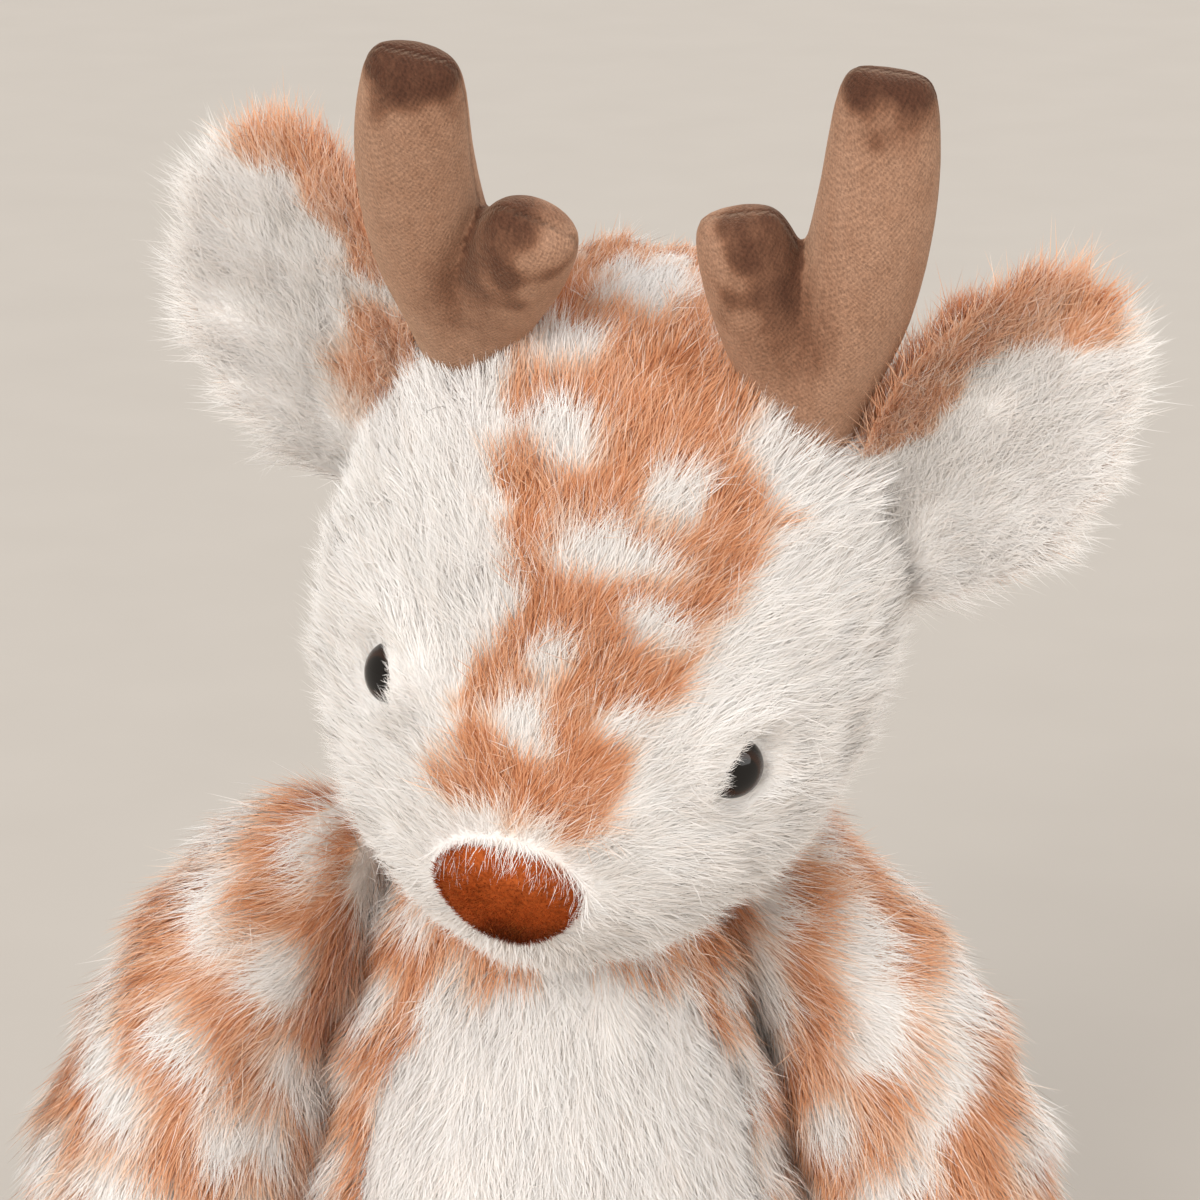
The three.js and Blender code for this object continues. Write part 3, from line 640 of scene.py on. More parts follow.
# How far a place lies to each eye's inner and upper side, and how high the lid stands there
def lidAt(low):
    along, height = np.full(low.shape[:-1], -99.0), np.zeros(low.shape[:-1])
    for spot, out in eyeSpots.values():
        inwards = np.array(lids["inwards"]) * [np.sign(spot[0]), 1, 1]
        away = low - spot
        place, near = away @ unit(inwards - (inwards @ out) * out), lengthOf(away)
        rise = lids["height"] * smooth(*lids["edge"], place) * (1 - smooth(*lids["reach"], near))
        along, height = np.where(near < 20, place, along), np.maximum(height, rise)
    return along, height


# The head's bed dips to the backing round each eye, but for the lid
def headForm(grow):
    shell, bare = headLocal(grow), headLocal(0)

    def at(u, v):
        full, low = shell(u, v), bare(u, v)
        share = smooth(6, 10, nearEye(low))[..., None]
        outwards = unit(headLocal(1)(u, v) - low)
        return toWorld(low + (full - low) * share + outwards * lidAt(low)[1][..., None])
    return at


# Whether a place is inside the grown head: within its oval at that place ahead
def insideHead(p, grow):
    q = toHead(p)
    forward = -(q[:, 1] + head["forward"])
    ahead = forward / (np.where(forward > 0, head["face"], head["nape"]) + grow)
    halfWidth, halfHeight, level = headReaches(np.clip(ahead, -1, 1), grow)
    away = (q[:, 0] / halfWidth) ** 2 + ((q[:, 2] - level) / halfHeight) ** 2
    return (np.abs(ahead) < 1) & (away < np.maximum(1 - ahead**2, 0) ** head["blunt"])


# The blaze's edges and its white spots. Rows are places along the head, from 1 at the muzzle's tip to
# -1 at the nape, with distances across it in mm.
blaze = {
    "edges": [[-1, -70, 70], [-0.55, -70, 70], [-0.4, -50, 52], [-0.2, -37, 40], [-0.05, -28, 32],
              [0.01, -25, 27], [0.17, -23, 27], [0.3, -20, 27], [0.4, -16, 25], [0.49, -11, 22],
              [0.57, -13, 19], [0.645, -16, 16], [0.72, -17, 15], [0.77, -17, 15], [0.85, -16, 13],
              [0.91, -13, 10], [0.95, -6, 5], [0.97, 0, 0]],
    # along, across, half size along, half size across
    "spots": [[0.16, -11.6, 5, 9], [0.237, 10.6, 7, 7], [0.383, 1.5, 5, 13], [0.491, 12.5, 5, 9],
              [0.605, -3.5, 4.5, 4.5], [0.732, -5, 5.5, 8], [0.68, 11.5, 4.5, 4.5], [-0.44, -8, 14, 10],
              [-0.1, -17, 8, 8], [0.034, 23.6, 7, 8], [0.935, -3, 4.5, 13], [-0.3, 14, 7, 8],
              [-0.36, -34, 8, 6]],
    "tan": 0.7, "pale": 0.05, "wobble": 1.6, "softEdge": 2.2, "spotEdge": (0.55, 1.3), "spotWobble": 0.12,
    # the levels between which it starts on the head's sides, and the places where it covers its back
    "sideLevels": (-16, -2), "backFrom": (-0.75, -0.5),
    # the spots on the nape, whose distances are from its middle
    "napeReach": 190, "napeSteps": (21, 19), "napeSizes": (6.6, 7), "napeFrom": (0.7, 0.74),
}


# Tan between the blaze's edges over the top of the head and all over its back, less the ovals of the
# spots. Noise moves every edge a little.
def headTint(p, u, v):
    q = toHead(p)
    ahead = np.cos(math.pi * v)
    wobble, _ = waves(p, 11, 91)
    side, soft = q[:, 0] + blaze["wobble"] * wobble, blaze["softEdge"]
    edges = np.array(blaze["edges"])
    low, high = (np.interp(ahead, edges[:, 0], edges[:, k]) for k in (1, 2))
    over = smooth(*blaze["sideLevels"], q[:, 2] - headReaches(ahead, 0)[2])
    over = np.maximum(over, 1 - smooth(*blaze["backFrom"], ahead))
    inside = smooth(-soft, soft, side - low) * smooth(-soft, soft, high - side) * over
    white = np.zeros(len(q))
    for place, across, halfAlong, halfAcross in blaze["spots"]:
        spotV = np.array([math.acos(place) / math.pi])
        ring = headLocal(0)(np.linspace(0, 0.5, 90), np.full(90, spotV))
        spot = ring[np.abs(ring[:, 0] - across).argmin()]
        away = q - spot
        a, b = away[:, 0] / halfAcross, lengthOf(away[:, 1:]) / halfAlong
        out = np.sqrt(a * a + b * b) + blaze["spotWobble"] * wobble
        white = np.maximum(white, 1 - smooth(*blaze["spotEdge"], out))
    reach = (1 - v) * blaze["napeReach"]
    back = spotGrid(reach * np.cos(2 * math.pi * u), reach * np.sin(2 * math.pi * u),
                    *blaze["napeSteps"], *blaze["napeSizes"], 3)
    white = np.maximum(white, back * smooth(*blaze["napeFrom"], v))
    return blaze["pale"] + (blaze["tan"] - blaze["pale"]) * inside * (1 - white)


headCoat = {
    # the shares of the nose's rim and of the lid's height, and the distance from an eye, where it starts
    "noseEdge": 0.94, "lidTop": 0.8, "eyeEdge": 5.8,
    # how far before the muzzle and below its middle it is combed from, and how much it hangs
    "combFrom": (4, 16), "hang": 0.25,
    # on the nose's upper rim: its levels and shares of it, how it folds over and the degrees more it stands
    "rimLevels": (-4, 6), "rimShares": (1.02, 1.25), "rimFold": 1.8, "rimRaise": 18,
    # the length's share and the degrees more it stands, from one to the other between two distances in mm
    "muzzle": (0.62, 1, 8, 34), "lid": (0.26, 1, 3, 13), "eye": (0.55, 1, 5, 15),
    "antler": (1.45, 1, 14, 22), "antlerRaise": (26, 0, 15, 22),
}
noseSpot = {
    "up": 4, "side": -1, "halfWidth": 14, "halfHeight": 12, "rise": 6, "square": 0.84, "narrow": 0.2,
    # the tint, how much more the dark patch of painted shade has, where its middle is in half sizes and how
    # far it reaches, and how much less the top has, as painted light
    "tint": 0.34, "dark": 0.5, "paintedShadeAt": (0.25, -0.75), "paintedShadeReach": (0.1, 1.0), "paintedLightTop": 0.16,
}


# Where the nose's middle lies on the bare head
def noseCentre():
    spotV = np.array([noseSpot["up"] / 180])
    return headLocal(0)(np.array([0.25]), spotV)[0] + np.array([noseSpot["side"], 0, 0])


# How far out from the nose's middle a place is, where its rim is at 1
def awayFromNose(p):
    return lengthOf((toHead(p) - noseCentre()) / np.array([noseSpot["halfWidth"], 9, noseSpot["halfHeight"]]))


# 1 on the upper side of the nose's rim, sinking to 0 away from it
def onNoseRim(p):
    above = smooth(*headCoat["rimLevels"], toHead(p)[:, 2] - noseCentre()[2])
    return above * (1 - smooth(*headCoat["rimShares"], awayFromNose(p)))


# The fur runs back from the nose over the face and hangs a little. Above the nose it leans over the rim.
def headFlow(p):
    before, below = headCoat["combFrom"]
    nose = np.array([0, -head["forward"] - head["face"] - before, -below])
    back = 1 - headCoat["rimFold"] * onNoseRim(p)
    return unit((toHead(p) - nose) @ headTurn.T) * back[:, None] + np.array([0, 0, -headCoat["hang"]])


# No fur under the nose, nor on an eye but for the top of its lid
def keepHead(p, u, v):
    low = headLocal(0)(u, v)
    byEye = (nearEye(low) > headCoat["eyeEdge"]) | (lidAt(low)[1] > headCoat["lidTop"] * lids["height"])
    return (awayFromNose(p) > headCoat["noseEdge"]) & byEye


antlerFeet = {"spread": 32, "aside": -4, "back": 8, "foot": 42}


# The middle of an antler's root in the head's frame
def antlerFoot(side):
    across = antlerFeet["aside"] + mirrors[side] * antlerFeet["spread"]
    return np.array([across, antlerFeet["back"], antlerFeet["foot"]])


# How far a place is from the nearer antler's root
def nearAntler(q):
    return np.minimum(*[lengthOf(q - antlerFoot(side)) for side in mirrors])


# The fur is short on the muzzle and round the eyes
def headSizes(p, u, v):
    low = headLocal(0)(u, v)
    muzzle = blend(*headCoat["muzzle"], lengthOf(low - noseCentre()))
    lid, eye = (blend(*headCoat[key], nearEye(low)) for key in ("lid", "eye"))
    return muzzle * np.where(lidAt(low)[0] > 0, lid, eye) * blend(*headCoat["antler"], nearAntler(low))


# It stands up round the antlers and the nose
def headRaised(p, u, v):
    byAntler = blend(*headCoat["antlerRaise"], nearAntler(headLocal(0)(u, v)))
    return byAntler + headCoat["rimRaise"] * onNoseRim(p)


bed("headSkin", headForm(bedGrow), 220, 144, headTint, "head", ["head_cover", "head_stuffing"])
coat("headFur", headForm, bedGrow, furStyles["face"], headTint, headFlow, "head", 11, keepHead, headSizes,
     headRaised)


# Eyes

eyes = {"radius": 6, "rise": 4.6, "low": 0.3, "stemRadius": 1.6, "stemLength": 9}


# Black, with a dark brown ring about three quarters of the way out
def makeEyeMaterial():
    made = Material("eyeGloss", Roughness=0.05, IOR=1.45)
    away = made.attribute("away")
    made.set(Base_Color=away.ramp([
        (0, 9, 6, 5), (0.52, 10, 7, 6), (0.6, 46, 24, 13), (0.74, 38, 20, 12), (0.84, 8, 6, 6), (1, 6, 5, 5),
    ]))
    return made.made


# A turned shape whose axis is the way out of the head: its profile is a quarter of an oval, then the
# stem, each point a distance from the axis and a height
def eyeForm(side):
    spot, out = eyeSpots[side]
    across = unit(np.cross(out, [0, 0, 1]))
    other = np.cross(out, across)
    lift, dome = np.radians(np.linspace(90, 0, 16)), eyes["rise"] - eyes["low"]
    profile = [[eyes["radius"] * math.cos(a), eyes["low"] + dome * math.sin(a)] for a in lift]
    stem, end = eyes["stemRadius"], -eyes["stemLength"]
    profile = np.array(profile + [[eyes["radius"] - 0.2, 0.05], [stem, 0], [stem, end], [0, end]])
    profile[0, 0] = 0

    def at(u, v):
        place = v * (len(profile) - 1)
        r = np.interp(place, np.arange(len(profile)), profile[:, 0])[..., None]
        h = np.interp(place, np.arange(len(profile)), profile[:, 1])[..., None]
        turn = 2 * math.pi * u[..., None]
        return toWorld(spot + r * (across * np.cos(turn) + other * np.sin(turn)) + h * out)
    return at, len(profile) - 1


eyeGloss = makeEyeMaterial()
for side in mirrors:
    form, rings = eyeForm(side)
    eye = formMesh(f"eye_{side}_dome", form, 56, rings, "head", eyeGloss)
    away = flattened(toHead(pointsOf(eye.data)) - eyeSpots[side][0], eyeSpots[side][1])
    setPointValues(eye, "away", lengthOf(away) / eyes["radius"])
    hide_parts(f"eye_{side}")
print("eyes done", flush=True)


# Nose: an oval pad of rust velvet

# Coloured by the tint, which holds the painted shade and painted light, with a fine grain
def makeVelvet():
    made = Material("noseVelvet", Roughness=0.8, Specular_IOR_Level=0.15, Sheen_Weight=0.3,
                    Sheen_Roughness=0.35, Sheen_Tint=shown(220, 130, 60))
    grain = made.noise(0.5, 2, 0.6, (1, 1, 0.35))
    dye = (made.attribute("tint") + (grain - 0.5) * 0.2).ramp([
        (0, 200, 104, 48), (0.35, 172, 78, 28), (0.65, 128, 52, 16), (1, 80, 28, 7),
    ])
    made.set(Base_Color=dye)
    made.bump(grain, 0.2, 0.6)
    return made.made


# An oval whose sides' cosine and sine are taken to a power, so that it is a little square, narrower below
def noseForm(grow):
    def at(u, v):
        polar = math.pi * v
        c, d = np.cos(2 * math.pi * u), np.sin(2 * math.pi * u)
        x = np.sin(polar) * np.sign(c) * np.abs(c) ** noseSpot["square"]
        z = np.sin(polar) * np.sign(d) * np.abs(d) ** noseSpot["square"]
        y = np.cos(polar)
        narrow = 1 - noseSpot["narrow"] * smooth(-0.3, 1, -z)
        local = joined(x * (noseSpot["halfWidth"] + grow) * narrow, -y * (noseSpot["rise"] + grow),
                       z * (noseSpot["halfHeight"] + grow))
        return toWorld(noseCentre() + local)
    return at


# Painted shade, darker low down on its left, the side away from the key lamp, and painted light, lighter
# towards its top
def noseTintWithPaintedShade(p, u, v):
    q = (toHead(p) - noseCentre()) / [noseSpot["halfWidth"], noseSpot["rise"], noseSpot["halfHeight"]]
    wobble, _ = waves(p, 8, 71)
    across, up = noseSpot["paintedShadeAt"]
    # painted shade in the dark patch, painted light on the top
    dark = 1 - smooth(*noseSpot["paintedShadeReach"], np.hypot(q[:, 0] - across, q[:, 2] - up) + 0.14 * wobble)
    shade = noseSpot["tint"] + noseSpot["dark"] * dark - noseSpot["paintedLightTop"] * smooth(0, 0.9, q[:, 2])
    return np.clip(shade + 0.05 * wobble, 0, 1)


velvet = makeVelvet()
nosePad = formMesh("nosePad", noseForm(-0.4), 64, 40, "head", velvet, tintAt=noseTintWithPaintedShade)
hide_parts("nose_cover", "nose_padding")
nap = dict(furStyles["face"], length=1.5, lift=50, tipLift=35, tuft=0.25, tuftSize=2.5, stray=0.14,
           width=0.13, perSquare=10)
coat("noseNap", noseForm, -0.5, nap, noseTintWithPaintedShade, lambda p: np.tile([0.1, 0, 1.0], (len(p), 1)), "head", 81,
     lambda p, u, v: ~insideHead(p, 0), dye=velvet)
print("nose done", flush=True)


# Limbs

# A limb's line: its start and shares of its reach, mirrored sideways
def limbLine(start, reach, shares, mirror=1):
    return np.array(start, float) + np.array(shares) * [reach * mirror, reach, reach]


# A line with a radius along it: half way along the unit sphere's axis is half way along the line. The
# radius goes from the first to the second, times a power of the sphere's own; a pinched tip is flatter.
def limbForm(line, radii, swellShare, blunt, place=lambda p: p, pinch=0.0):
    def grown(grow):
        def at(u, v):
            y = np.cos(math.pi * v)
            t = (1 - y) / 2
            tangent = unit(curveAt(line, t + 2e-3) - curveAt(line, t - 2e-3))
            side = unit(np.array([1.0, 0, 0]) - tangent * tangent[..., :1])
            other = np.cross(tangent, side)
            radius = blend(*radii, 0, swellShare, t) + grow
            radius = (radius * np.maximum(np.sin(math.pi * v), 0) ** blunt)[..., None]
            turn = 2 * math.pi * u[..., None]
            depth = np.where(v > 0.5, np.maximum(np.sin(math.pi * v), 0) ** pinch, 1)[..., None]
            ring = radius * (side * np.cos(turn) + other * depth * np.sin(turn))
            return place(curveAt(line, t) - tangent * (y * grow)[..., None] + ring)
        return at
    return grown


# Antlers: a beam and a tine, melted into one skin, with the seam of their two halves along the edge

antlers = {
    "height": 75, "radii": {"beam": 11.3, "tine": 10.3},
    "lines": {
        "beam": [[0, 0, -0.1], [0.02, 0, 0.12], [0.09, 0.02, 0.38], [0.12, 0.05, 0.66], [0.11, 0.1, 1]],
        "tine": [[0, 0, -0.04], [-0.04, 0, 0.16], [-0.13, -0.01, 0.38], [-0.21, -0.02, 0.6]],
    },
    "leans": {"left": (-12, -5), "right": (9, -5)},
    "blunt": 0.26, "pinch": 0.4, "voxel": 0.9, "melt": 5, "seamWidth": 0.7,
    # how dark the three patches are, the one in the fork being painted shade, and the distances over which
    # each ends
    "topDark": 1, "topReach": (1, 11), "tineDark": 0.85, "tineReach": (-26, -12), "forkPaintedShade": 0.5,
    "forkPaintedShadeReach": (5, 13),
}


# Velour: a knit whose ribs run up the antler, brushed darker in patches, with painted shade as the patch in
# each antler's fork
def makeVelourMaterial():
    made = Material("velour", Roughness=0.8, Specular_IOR_Level=0.2, Sheen_Weight=0.45, Sheen_Roughness=0.4,
                    Sheen_Tint=shown(214, 180, 150))
    wander = made.noise(5, 3, 0.7) * 14
    rib = (made.attribute("across") * (2 * math.pi / 1.3) + wander).math("SINE")
    row = (made.attribute("up") * (2 * math.pi / 1.1) + wander * 1.3).math("SINE")
    knit = rib * row * 0.5 + 0.5
    grain = made.noise(0.6, 3, 0.65, (1.3, 1.3, 0.8))
    brushed = made.noise(6, 4, 0.62, (1.5, 1.5, 0.7))
    patch = made.attribute("patch") * 0.8 + (brushed - 0.5) * 0.6 + 0.22
    dye = patch.span(0, 1).ramp([
        (0, 190, 148, 121), (0.3, 172, 129, 102), (0.6, 138, 96, 72), (1, 90, 56, 40),
    ])
    seam = made.attribute("seam")
    pile = grain * 0.83 + knit * 0.17
    made.set(Base_Color=(pile.span(0.3, 0.7, 0.58, 1.2) * (1 - seam * 0.3)).times(dye))
    made.bump(pile - seam * 1.2, 0.55, 0.9)
    return made.made


# The points and quads of one skin round several forms, with the crease between them smoothed
def meltTogether(name, forms, voxel, melt):
    parts = [formMesh(name + "Part", form, 40, 36, "head", velour) for form in forms]
    keep = parts[0]
    with bpy.context.temp_override(active_object=keep, selected_editable_objects=parts):
        bpy.ops.object.join()
    keep.modifiers.new("voxels", "REMESH").voxel_size = voxel * mm
    smoothing = keep.modifiers.new("smooth", "SMOOTH")
    smoothing.factor, smoothing.iterations = 0.5, melt
    mesh = bpy.data.meshes.new_from_object(keep.evaluated_get(bpy.context.evaluated_depsgraph_get()))
    bpy.data.objects.remove(keep)
    faces = np.empty(len(mesh.loops), np.int32)
    mesh.loops.foreach_get("vertex_index", faces)
    return pointsOf(mesh), faces.reshape(-1, 4)


velour = makeVelourMaterial()


# What the velour reads at each point
def setVelourPlaces(obj, seam, patch, across, up):
    for name, values in {"seam": seam, "patch": patch, "across": across, "up": up}.items():
        setPointValues(obj, name, values)


# The places that the velour reads: how far up and across, the seam's depth and the dark patches: brushed ones
# on the beam's top and on the tine's upper side, and painted shade in the fork
def buildAntler(side, mirror):
    back, aside = antlers["leans"][side]
    foot = antlerFoot(side)
    lean = turned("x", back) @ turned("y", aside)

    def place(p):
        return toWorld(foot + (p - foot) @ lean.T)

    lines = {k: limbLine(foot, antlers["height"], shares, mirror) for k, shares in antlers["lines"].items()}
    forms = [limbForm(lines[k], (r, r), 1, antlers["blunt"], place, antlers["pinch"])(0)
             for k, r in antlers["radii"].items()]
    points, faces = meltTogether(f"antler_{side}", forms, antlers["voxel"], antlers["melt"])
    own = (toHead(points) - foot) @ lean + foot
    tips, offsets = [], []
    for k, radius in antlers["radii"].items():
        line = curveAt(lines[k], np.linspace(0, 1, 80))
        gap = lengthOf(own[:, None] - line[None])
        offsets.append((gap.min(1) / radius, own[:, 1] - line[gap.argmin(1), 1]))
        tips.append(line[-1])
    nearest = np.stack([o[0] for o in offsets]).argmin(0)
    off = np.stack([o[1] for o in offsets])[nearest, np.arange(len(own))]
    seam = np.clip(1 - np.abs(off) / antlers["seamWidth"], 0, 1)
    wobble, _ = waves(own, 9, 95)
    top = 1 - smooth(*antlers["topReach"], own[:, 2].max() - own[:, 2] + 1.5 * wobble)
    tineSide = (own - tips[1]) @ np.array([mirror, 0, 0.35]) / antlers["radii"]["tine"] + 0.25 * wobble
    tineTop = smooth(*antlers["tineReach"], own[:, 2] - tips[1][2])
    tine = (nearest == 1) * smooth(-0.7, 0.5, tineSide) * tineTop
    # painted shade in the fork's notch, where the beam and the tine meet
    forkAt = lines["beam"][2] - [mirror * 9, 0, 3]
    fork = 1 - smooth(*antlers["forkPaintedShadeReach"], lengthOf((own - forkAt) * [1, 0.5, 0.7]))
    patch = np.max([antlers["topDark"] * top, antlers["tineDark"] * tine, antlers["forkPaintedShade"] * fork], axis=0)
    obj = makeMesh(f"antler_{side}_skin", points, faces, [], f"antler_{side}", velour)
    setVelourPlaces(obj, seam, patch, own[:, 0] + own[:, 1], own[:, 2])
    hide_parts(f"antler_{side}_cover", f"antler_{side}_stuffing")


for side, mirror in mirrors.items():
    buildAntler(side, mirror)
print("antlers done", flush=True)


# Ears: each sheet is half a flat leaf, cupped and curled, with its root at the head

ears = {
    "length": 73, "halfWidth": 22.5, "sheet": 3.9, "cup": 8, "rootSide": 50, "rootBack": 0, "rootHeight": 1,
    "narrow": 0.3, "leanBack": 25, "parting": 0.6, "furSizes": (0.8, 1.1, 0.6, 1),
    "pale": 0.05, "frontTan": 0.5, "backTan": 0.6, "paleRim": (0.66, 0.8), "bandEdge": (-1.5, 2.5),
    "patchEdge": (0.7, 1.2),
    "splays": {"left": 18, "right": 29}, "lifts": {"left": 9, "right": 0}, "curls": {"left": 9, "right": 2},
}


# How an ear is turned and where its root is, in the head's frame
def earStand(side):
    mirror = mirrors[side]
    stand = turned("x", -ears["leanBack"]) @ turned("y", mirror * ears["splays"][side])
    height = ears["rootHeight"] + ears["lifts"][side]
    return stand, np.array([mirror * ears["rootSide"], ears["rootBack"], height])


# A leaf bent by the square of its place across. v is 0 in the middle of the sheet's face and 1 at its
# rim when it is a face, and runs on to the middle of its inner side when it is whole.
def earForm(side, front, whole=False):
    mirror, (stand, root) = mirrors[side], earStand(side)

    def grown(grow):
        def at(u, v):
            x, z, face = onBall(u, v if whole else v / 2)
            up = (1 + z) / 2
            halfWidth = ears["halfWidth"] * (1 - ears["narrow"] * (1 - up) ** 2) + grow * 0.6
            thick = np.maximum(face, 0) * (ears["sheet"] + grow) + ears["parting"] / 2
            thick = -thick if front else thick
            bend = -ears["cup"] * x * x - ears["curls"][side] * np.maximum(-x, 0) ** 2 * up
            leaf = joined(mirror * x * halfWidth, thick + bend, up * ears["length"])
            return toWorld(root + leaf @ stand.T)
        return at
    return grown


# Where an ear's fur is tan in front: a band along its upper edge, which starts at this place across
# for each height, and a patch at its root, given as across, height and its half sizes
earTans = {
    "left": {"heights": [26, 34, 50, 58, 66, 73], "starts": [-19, -9, -9, -3, 5, 12],
             "patch": (-16, 14, 4, 9)},
    "right": {"heights": [36, 43, 55, 61, 69, 73], "starts": [-24, -9, -8, -5, 4, 8],
              "patch": (-11, 23, 11.5, 15)},
}


# An ear's two sheets, each a bed and its fur
def buildEar(side, seed):
    mirror, (stand, root) = mirrors[side], earStand(side)

    # how far outwards across the leaf a place is, and how far up it
    def leafPlace(p):
        q = (toHead(p) - root) @ stand
        return mirror * q[:, 0], q[:, 2]

    # 1 in the tan band along the upper edge
    def bandAt(p):
        across, height = leafPlace(p)
        wobble, _ = waves(p, 12, seed)
        start = np.interp(height, earTans[side]["heights"], earTans[side]["starts"])
        return smooth(*ears["bandEdge"], start - across + 1.5 * wobble)

    # white, with the tan band and patch
    def frontTint(p, u, v):
        across, height = leafPlace(p)
        wobble, _ = waves(p, 10, seed + 1)
        middle, low, halfAcross, halfUp = earTans[side]["patch"]
        away = np.hypot((across - middle) / halfAcross, (height - low) / halfUp) + 0.12 * wobble
        patch = 1 - smooth(*ears["patchEdge"], away)
        return ears["pale"] + ears["frontTan"] * np.maximum(bandAt(p), patch)

    # tan, but for the rim's outer side
    def backTint(p, u, v):
        wobble, _ = waves(p, 14, seed + 2)
        tan = np.maximum(1 - smooth(*ears["paleRim"], v), bandAt(p))
        return ears["pale"] + (ears["backTan"] + 0.04 * wobble) * tan

    # the fur fans out from the root
    def flow(p):
        across, height = leafPlace(p)
        fan = joined(mirror * across * 0.04, np.zeros(len(p)), 0.25 + height / ears["length"])
        return (fan @ stand.T) @ headTurn.T

    # longer towards the rim
    def sizes(p, u, v):
        return blend(*ears["furSizes"], v)

    for front, tint in ((True, frontTint), (False, backTint)):
        part, slot = ("inner", "white_fur") if front else ("outer", "spotted_fur")
        bed(f"ear_{side}_{part}_skin", earForm(side, front, True)(-0.8), 64, 32, tint, f"ear_{side}",
            [f"ear_{side}_{part}"])
        coat(f"ear_{side}_{part}_fur", earForm(side, front), -0.9, furStyles["ear"], tint, flow,
             f"ear_{side}", seed + (3 if front else 5), lambda p, u, v: ~insideHead(p, 1), sizes)


for side, seed in (("left", 300), ("right", 400)):
    buildEar(side, seed)


# Torso, belly panel and neck

# Rows of spots round the body: the angle times the body's radius across, the height up
def torsoTint(p, u, v):
    wobble, _ = waves(p, 16, 51)
    angle = np.arctan2(p[:, 0], -(p[:, 1] + torso["forward"]))
    return blendTint(spotGrid(angle * torso["spotRadius"] + wobble * 1.5, p[:, 2], *torso["spots"], 5))


# Combed down and a little outwards
def downwards(p):
    return joined(p[:, 0] * 0.012, (p[:, 1] + torso["forward"]) * 0.01, np.full(len(p), -1.0))


# The same all over
def bellyTint(p, u, v):
    return np.full(len(p), torso["bellyTint"])


# The torso's bed, sunk where the belly panel lies on it
def torsoBed(u, v):
    p, low = torsoForm(bedGrow)(u, v), torsoForm(0.2)(u, v)
    return np.where(inBelly(p, -1)[..., None], low, p)


bed("bodySkin", torsoBed, 120, 90, torsoTint, "torso", ["body_cover", "body_stuffing"])
bed("bellySkin", bellyForm(bellyGrow), 96, 60, bellyTint, "torso", ["belly_panel"])
coat("bodyFur", torsoForm, bedGrow, furStyles["long"], torsoTint, downwards, "torso", 21,
     lambda p, u, v: ~inBelly(p, 1) & ~insideHead(p, 0) & (p[:, 2] > 1))


# The panel's face, for its fur: across by up
def bellyFace(grow):
    whole = bellyForm(grow)
    return lambda u, v: whole(u, v / 2)


coat("bellyFur", bellyFace, bellyGrow, furStyles["belly"], bellyTint, downwards, "torso", 31,
     lambda p, u, v: ~insideHead(p, 0))

neck = {"radius": 27, "sunk": 4.5, "place": (4, -3, 150)}


# A ball inside the CAD's, so that its fur comes out flush with the body's
def neckForm(grow):
    radius = neck["radius"] - neck["sunk"] + grow
    return lambda u, v: np.array(neck["place"]) + joined(*onBall(u, v)) * radius


bed("neckSkin", neckForm(bedGrow), 48, 32, torsoTint, "neck_skin", ["neck_cover", "neck_stuffing"])
coat("neckFur", neckForm, bedGrow, furStyles["belly"], torsoTint, downwards, "neck_skin", 41,
     lambda p, u, v: ~insideHead(p, 0) & ~insideTorso(p, 0))


# Arms, legs and tail. Spots are their steps across and along, half sizes and slant; comb is which way
# the fur leans at the limb's root.

arms = {
    "reach": 118, "radii": (17, 22), "swell": 0.45, "side": 44, "forward": 3,
    "heights": {"left": 128, "right": 134},
    "shares": [[-0.04, 0, 0.11], [0.17, -0.02, -0.2], [0.285, -0.06, -0.5], [0.36, -0.1, -0.78],
               [0.37, -0.12, -0.98]],
    "spots": (28, 15.5, 5.8, 11.8, 0.5), "comb": (1.4, 0, 0.4),
}
legs = {
    "reach": 132, "radii": (20, 23.5), "swell": 0.6, "side": 30, "forward": 12,
    "heights": {"left": 26.545, "right": 26.545},
    "shares": [[0, 0, 0], [0.02, -0.33, 0], [0.06, -0.68, 0], [0.1, -1, 0]],
    "spots": (26, 17, 5.6, 11, 0.3), "comb": (0, 0, 0),
}
limbBlunt, limbTan, limbPlaces = 0.56, 0.66, 60
hoof = {"share": 0.86, "grow": 1.4, "patch": 0.2, "overlap": 0.02}
hoofStart = math.acos(1 - 2 * hoof["share"]) / math.pi


